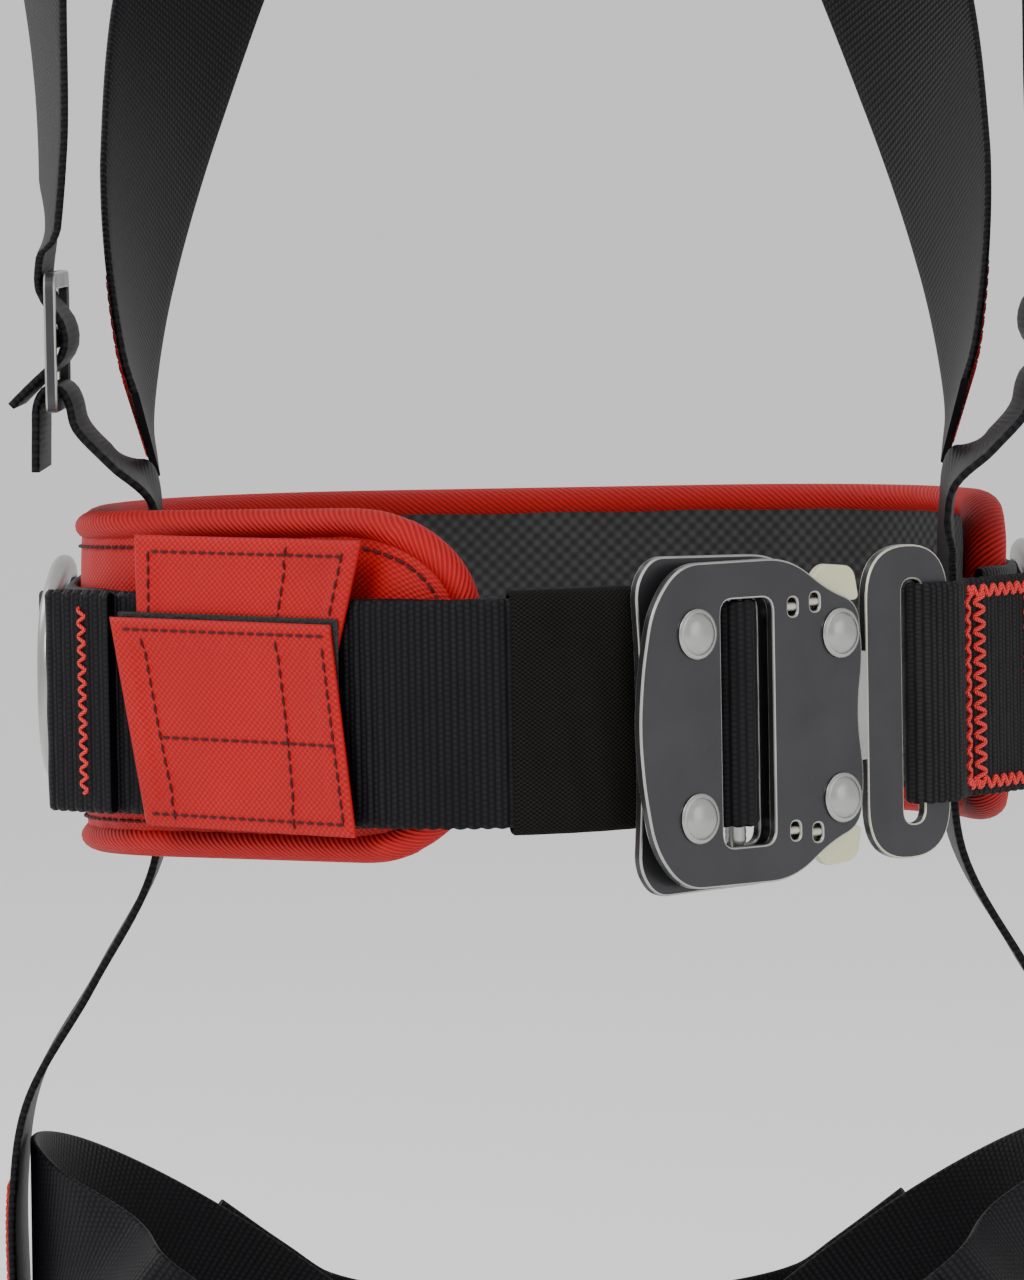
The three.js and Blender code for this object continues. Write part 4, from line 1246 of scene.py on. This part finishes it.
class Hardware:
    """Rings, adjusters, the dorsal plate and the pass-through buckles."""

    def ring(self, name: str, matrix: Matrix, width: float, depth: float, bow: float, body: str) -> None:
        """A D-ring of flattened round bar.

        Args:
            name: The frame node it stands for.
            matrix: Its place.
            width: Outer width.
            depth: Outer depth.
            bow: Half width of the bow's bottom.
            body: The body it moves with.
        """
        side = width / 2 - 3.1
        foot = -depth + 6.4
        loop = rounded([(-side, 0, 3), (-side, -9, 8), (-bow + 1, foot, 13), (bow - 1, foot, 13),
                        (side, -9, 8), (side, 0, 3)], 12)
        closed = np.vstack([loop, loop[:1]])
        run = np.concatenate([[0], np.cumsum(np.linalg.norm(np.diff(closed, axis=0), axis=1))])
        even = interp(np.linspace(0, run[-1], 120, endpoint=False), run, closed)
        path = np.stack([even[:, 0], np.zeros(len(even)), even[:, 1]], axis=1)
        along = unit(np.roll(path, -1, axis=0) - np.roll(path, 1, axis=0))
        out = np.array([0.0, -1.0, 0.0])
        across = np.cross(along, out)
        angle = np.linspace(0, TAU, 20, endpoint=False)[:, None]
        points = path[:, None] + across[:, None] * np.cos(angle) * 3.0 + out * np.sin(angle) * 2.4
        shape = grid(points, np.linspace(0, run[-1], 121), np.linspace(0, 18, 21), close_u=True,
                     close_v=True)
        show(f"{name}_round", shape.placed(matrix), SATIN, body, (name,))

    def ring_loop(self, name: str, matrix: Matrix, width: float, feet: list, lean: tuple) -> None:
        """The webbing folded round a ring's bar.

        Args:
            name: The frame node it stands for.
            matrix: Its place.
            width: Its width.
            feet: (y, z) of the outgoing layer.
            lean: Direction from the outgoing to the returning layer.
        """
        radius = math.hypot(3, 2.5) + 1.2
        route = [(0, y, z) for y, z in feet]
        route += [(0, radius * math.cos(a), -radius * math.sin(a)) for a in np.linspace(0, math.pi, 9)]
        route += [(0, -radius, 2.5), (0, -1, 6.4)]
        route += [(0, y - 2 * lean[0], z + 2 * lean[1]) for y, z in reversed(feet)]
        points = spline(locate(matrix, route), 8)
        axis = np.array(matrix.to_3x3() @ Vector((1, 0, 0)))
        ribbon = Ribbon(points, np.repeat(axis[None], len(points), axis=0))
        shape = band(ribbon, np.arange(0, ribbon.length, 0.5), width, STRAP_THICK, relief=0.1)
        show(f"{name}_woven", shape, WEBBING, "harness", (name,))

    def build(self) -> None:
        """Makes the rings, plates and buckles."""
        feet = [(18, 20), (13.6, 13.6), (8.6, 7)]
        swing = math.radians(3.4)
        for word, side, x in (("right", -1, -103.2), ("left", 1, 99.8)):
            z_axis = Vector((-side * math.sin(swing), math.cos(swing), 0))
            x_axis = Vector((0, 0, -side))
            y_axis = z_axis.cross(x_axis)
            turn = Matrix((x_axis, y_axis, z_axis)).transposed().to_4x4()
            matrix = Matrix.Translation((x, 47, 0)) @ turn
            self.ring(f"hip_{word}_d_ring", matrix, 52, 42, 15, f"{word}_hip_ring")
            self.ring_loop(f"hip_{word}_ring_loop", matrix, 36, feet, (0.8, 0.6))
        turn = Matrix(((-1, 0, 0), (0, -1, 0), (0, 0, 1))).to_4x4()
        matrix = Matrix.Translation((0, 120.9, 287)) @ turn
        self.ring("dorsal_d_ring", matrix, 60, 58, 22, "back_ring")
        self.ring_loop("dorsal_ring_loop", matrix, 40, [(6, 24), (6, 16), (5.8, 8)], (1, 0))
        outline = rounded([(-44, -26, 10), (44, -26, 10), (38, 34, 12), (-38, 34, 12)], 9)
        holes = [box(-24, 24, z - 3, z + 3, 2.5) for z in (-14, 20)]
        shape = plate(outline, holes, -3, 0, 0.8).placed(place(0, 110.5, 285))
        show("dorsal_plate_moulded", shape, PLASTIC, "harness", ("dorsal_plate",),
             PLASTIC)
        for word, side in (("right", -1), ("left", 1)):
            holes = [box(-22.8, 22.8, 61, 71, 1), box(-22.8, 22.8, 75, 83, 1)]
            flat = plate(box(-26, 26, 58, 86.5, 4), holes, -1.2, 1.2, 0.4)
            shape = flat.placed(place(side * 101, -6, 0, turn=90))
            show(f"torso_adjuster_{word}_pressed", shape, COATED, "harness",
                 (f"torso_adjuster_{word}",), PALE_BEVEL)

    def pass_buckle(self, prefix: str, matrix: Matrix, body: str) -> None:
        """A frame and the link that hooks over it.

        Args:
            prefix: Where it is.
            matrix: Its place.
            body: The link's body.
        """
        frame_hole = box(-20, 8, -23.6, 23.6, 2)
        shape = plate(box(-24, 12, -28, 28, 4), [frame_hole], -1.5, 1.5, 0.4).placed(matrix)
        show(f"{prefix}_frame_pressed", shape, COATED, "harness",
             (f"{prefix}_buckle_frame",), PALE_BEVEL)
        holes = [box(11, 18, -22.6, 22.6, 2), box(0, 5, -12, 12, 2)]
        shape = plate(box(-6, 22, -25, 25, 4), holes, 1.9, 4.9, 0.4).placed(matrix)
        show(f"{prefix}_link_pressed", shape, COATED, body, (f"{prefix}_buckle_link",),
             PALE_BEVEL)


class Straps:
    """Shoulder, side, chest, leg and seat webbing."""

    SHOULDER = ((-109.5, -6, 59.5), (-105.5, -6, 63.4), (-102.4, -6, 66.2), (-99.8, -6, 68.5),
                (-98.5, -6, 71), (-98.4, -6, 73.6), (-99.1, -6, 76.2), (-101, -6, 79),
                (-102.9, -6, 81.8), (-103.5, -6, 84.6), (-102.2, -7, 96), (-101, -14, 120),
                (-102, -34, 165), (-97, -60, 215), (-86, -78, 260), (-74, -80, 310), (-66, -66, 355),
                (-62, -38, 392), (-61, -4, 410), (-60, 30, 402), (-52, 62, 370), (-34, 86, 330),
                (-2, 98, 285), (34, 97, 235), (64, 84, 180), (80, 62, 130), (86, 38, 96), (87, 24, 76),
                (86.2, 15, 62), (84, 10, 52))
    SIDE = ((-104.8, -6, 46), (-104.6, -6, 54), (-104.3, -6, 59.5), (-103, -6, 62.2), (-101, -6, 63.2),
            (-99, -6, 62.2), (-97.7, -6, 59.5), (-96.6, -6, 55), (-90.4, -6, 48), (-83.4, -4, 41),
            (-81.6, 0, 30), (-82, 3, 0), (-82.6, 5, -34), (-96, 6, -60), (-110, 6, -84),
            (-113.4, 6, -104), (-113.4, 6, -132))
    CHEST = ((-105, -71, 246), (-92, -86, 247), (-75, -99.5, 248), (-58, -105, 248))
    SEAT = ((-84, 69, -134), (-71, 75, -145), (-58, 77.5, -154), (-30, 80, -160), (0, 81, -161))
    FRAME_END = ((-44, 1.4, 0), (-30, 2.2, 0), (-22, 3.8, 0), (-19.2, 2.6, 0), (-18.2, 0, 0),
                 (-19.2, -2.6, 0), (-22, -3.8, 0), (-28, -3.2, 0), (-36, -1.2, 0))
    LINK_END = ((42, 0, 0), (30, -1.4, 0), (20, 0.4, 0), (17.3, -0.7, 0), (16.2, -3.4, 0),
                (17.3, -6.1, 0), (20, -7.2, 0), (26, -6.2, 0), (36, -3, 0))
    WOVEN_SPANS = 10
    OVER = 6.0
    SPAN = 12

    def strap(self, node: str, route: list, wide_at: object, finish: Textile = WEBBING) -> Ribbon:
        """One strap through given points.

        Args:
            node: The frame node it stands for.
            route: Its points.
            wide_at: Gives width directions from points and tangents.
            finish: Its cloth.
        Returns:
            Its ribbon, facing away from the wearer.
        """
        points = spline(route, self.SPAN)
        along = unit(np.gradient(points, axis=0))
        wide = unit(wide_at(points, along))
        for index in range(1, len(wide)):
            if wide[index] @ wide[index - 1] < 0:
                wide[index] *= -1
        kernel = np.ones(5) / 5
        padded = np.vstack([wide[:1], wide[:1], wide, wide[-1:], wide[-1:]])
        wide = np.stack([np.convolve(padded[:, axis], kernel, "valid") for axis in range(3)], axis=1)
        ribbon = Ribbon(points, wide)
        away = points - np.stack([np.zeros(len(points)), np.full(len(points), 5.0), points[:, 2]], axis=1)
        if np.sum(ribbon.out * away) < 0:
            ribbon = Ribbon(points, wide, -1)
        spacing = 1.8 if ribbon.length > 400 else 1.2
        shape = band(ribbon, np.linspace(0, ribbon.length, int(ribbon.length / spacing)), STRAP_WIDTH,
                     STRAP_THICK, rows=14)
        show(f"{node}_woven", shape, finish, "harness", (node,))
        return ribbon

    def box_stitch(self, name: str, ribbon: Ribbon, start: float, end: float, o: float = 1.0) -> None:
        """A red zigzag box with its cross line.

        Args:
            name: Piece name.
            ribbon: The strap.
            start: Length where it starts.
            end: Length where it ends.
            o: Surface height.
        """
        rows = [ribbon.zigzag((s, -18), (s, 18), o, 0.9, 2.8, 0.38) for s in (start, end)]
        rows += [ribbon.zigzag((start, w), (end, w), o, 0.9, 2.8, 0.38) for w in (-18, 18)]
        rows.append(ribbon.zigzag((start, -18), (end, 18), o, 0.7, 2.8, 0.38))
        show(name, merged(*rows), RED_THREAD, "harness")

    def build(self, hardware: Hardware) -> None:
        """Makes every strap and the buckles between them.

        Args:
            hardware: Makes the buckles.
        """
        mirror = lambda route: [(-x, y, z) for x, y, z in route]
        fore_and_aft = lambda points, along: np.tile([0.0, 1.0, 0.0], (len(points), 1))
        woven = self.WOVEN_SPANS * self.SPAN

        def shoulder_wide(points: np.ndarray, along: np.ndarray) -> np.ndarray:
            """Gives the width direction: at right angles to the route and to the way out of the torso."""
            core = np.stack([np.zeros(len(points)), np.full(len(points), 5.0),
                             np.clip(points[:, 2], 0, 300)], axis=1)
            wide = np.cross(along, points - core)
            wide[:woven] = (0, 1, 0)
            return wide

        for word, side, lift in (("right", -1, 0.0), ("left", 1, self.OVER)):
            raised = [(x, y + lift * math.exp(-((z - 285) ** 2) / 6000) * (y > 50), z)
                      for x, y, z in self.SHOULDER]
            route = raised if side < 0 else mirror(raised)
            ribbon = self.strap(f"shoulder_strap_{word}", route, shoulder_wide)
            self.box_stitch(f"shoulder_end_stitch_{word}", ribbon, ribbon.length - 27, ribbon.length - 4)
            route = list(self.SIDE) if side < 0 else mirror(self.SIDE)
            ribbon = self.strap(f"side_strap_{word}", route, fore_and_aft)
            self.box_stitch(f"side_end_stitch_{word}", ribbon, ribbon.length - 30, ribbon.length - 4)
        level = lambda points, along: np.tile(UP, (len(points), 1))
        chest = place(0, -106, 248)
        hardware.pass_buckle("chest", chest, "chest_link")
        self.strap("chest_strap_right", [*self.CHEST, *locate(chest, self.FRAME_END)], level)
        self.strap("chest_strap_left", [*mirror(self.CHEST), *locate(chest, self.LINK_END)], level)
        for word, side in (("right", -1), ("left", 1)):
            matrix = place(side * 58, -60, -155, tilt=-side * math.atan2(40, 52))
            hardware.pass_buckle(f"leg_{word}", matrix, f"{word}_leg_link")
            angles = [math.radians(218 - step * 32) for step in range(9)]
            middle = [(side * 58 + 52 * math.cos(a), 5 + 62 * math.sin(a),
                       -155 + side * 40 * math.cos(a)) for a in angles]
            route = [*reversed(locate(matrix, self.FRAME_END)), *middle, *locate(matrix, self.LINK_END)]
            own = np.array(matrix.to_3x3() @ Vector((0, 0, 1)))

            def leg_wide(points: np.ndarray, along: np.ndarray, side: int = side,
                         own: np.ndarray = own) -> np.ndarray:
                """Gives the width direction: the buckle's own in front, turning round the thigh behind."""
                core = np.stack([np.full(len(points), side * 58.0), np.full(len(points), 5.0),
                                 points[:, 2]], axis=1)
                wide = unit(np.cross(along, points - core))
                wide = np.where((wide @ own)[:, None] < 0, -wide, wide)
                share = smooth_step(-45, -17, points[:, 1])[:, None]
                return own * (1 - share) + wide * share

            self.strap(f"leg_strap_{word}", route, leg_wide)

        def seat_wide(points: np.ndarray, along: np.ndarray) -> np.ndarray:
            """Gives the width direction: at right angles to the route and to the way out of the torso."""
            core = np.stack([np.zeros(len(points)), np.full(len(points), -20.0), points[:, 2]], axis=1)
            return np.cross(along, points - core)

        self.strap("seat_strap", [*self.SEAT, *reversed(mirror(self.SEAT[:-1]))], seat_wide)


class Studio:
    """The pale stage, the soft lights and the camera."""

    AIM = (-8.7, -97.0, 14.4)
    DISTANCE = 1500.0
    ELEVATION = 3.4
    ROLL = -1.0
    LENS = 217.3
    FLOOR = -236.0
    FLOOR_HALF = 40000.0
    GLOW = 0.05
    AMBIENT = 0.85
    LAMPS = (("key", (-0.9, -1.5, 1.3), 0.8, 18), ("fill", (1.3, -1.2, 0.5), 1.2, 4),
             ("top", (0.1, -0.1, 1.9), 1.0, 7), ("rim", (-1.2, 0.9, 0.9), 0.8, 6))
    LAMP_AIM = (0, -0.05, 0.02)

    def build(self) -> None:
        """Makes the stage, the lights and the camera."""
        half = self.FLOOR_HALF
        rows = np.array([[(x, y, self.FLOOR) for x in (-half, half)] for y in (-half, half)])
        shape = grid(rows, np.arange(2), np.arange(2))
        mesh = bpy.data.meshes.new("floor")
        mesh.from_pydata((shape.vertices * MM).tolist(), [], shape.faces)
        stage = PALE.material()
        shader = stage.node_tree.nodes["Principled BSDF"]
        shader.inputs["Emission Color"].default_value = (1, 1, 1, 1)
        shader.inputs["Emission Strength"].default_value = self.GLOW
        mesh.materials.append(stage)
        floor = bpy.data.objects.new("floor", mesh)
        bpy.context.scene.collection.objects.link(floor)
        world = bpy.data.worlds.new("studio")
        world.use_nodes = True
        backdrop = world.node_tree.nodes["Background"]
        backdrop.inputs[0].default_value = (1, 1, 1, 1)
        backdrop.inputs[1].default_value = self.AMBIENT
        bpy.context.scene.world = world
        for name, spot, size, power in self.LAMPS:
            light = bpy.data.lights.new(name, "AREA")
            light.size = size
            light.energy = power
            lamp = bpy.data.objects.new(name, light)
            lamp.location = spot
            lamp.visible_camera = False
            ray = Vector(self.LAMP_AIM) - Vector(spot)
            lamp.rotation_euler = ray.to_track_quat("-Z", "Y").to_euler()
            bpy.context.scene.collection.objects.link(lamp)
        aim = Vector(self.AIM) * MM
        tilt = math.radians(self.ELEVATION)
        back = Vector((0, -math.cos(tilt), math.sin(tilt)))
        data = bpy.data.cameras.new("camera")
        data.lens = self.LENS
        data.sensor_width = 36
        data.clip_end = 100
        camera = bpy.data.objects.new("camera", data)
        facing = (-back).to_track_quat("-Z", "Y").to_matrix().to_4x4()
        turn = facing @ Matrix.Rotation(math.radians(self.ROLL), 4, "Z")
        camera.matrix_world = Matrix.Translation(aim + back * self.DISTANCE * MM) @ turn
        bpy.context.scene.collection.objects.link(camera)
        bpy.context.scene.camera = camera


def coil_springs() -> None:
    """Makes the two lever springs, each a wire wound round a vertical line."""
    for word, side in (("upper", 1), ("lower", -1)):
        share = np.linspace(0, 1, 260)
        angle = share * TAU * 9
        path = np.stack([40 + 0.85 * np.cos(angle), 0.85 * np.sin(angle), side * (2.5 + 11.2 * share)],
                        axis=1)
        out = np.stack([np.cos(angle), np.sin(angle), np.zeros(len(angle))], axis=1)
        shape = tubes(path[None], out[None], 0.22).placed(BUCKLE)
        name = f"lever_spring_{word}"
        item = show(f"{name}_coil", shape, SATIN, "harness", (name,))
        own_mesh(item)


def main() -> None:
    """Builds the whole harness and its studio."""
    logging.basicConfig(level=logging.INFO, format="%(name)s %(message)s")
    Studio().build()
    belt = WaistBelt()
    belt.build()
    belt.tab_webbing()
    Pad().build()
    Flaps().build()
    buckle = Buckle()
    buckle.build()
    buckle.tab()
    coil_springs()
    hardware = Hardware()
    hardware.build()
    Straps().build(hardware)


if __name__ == "__main__":
    main()
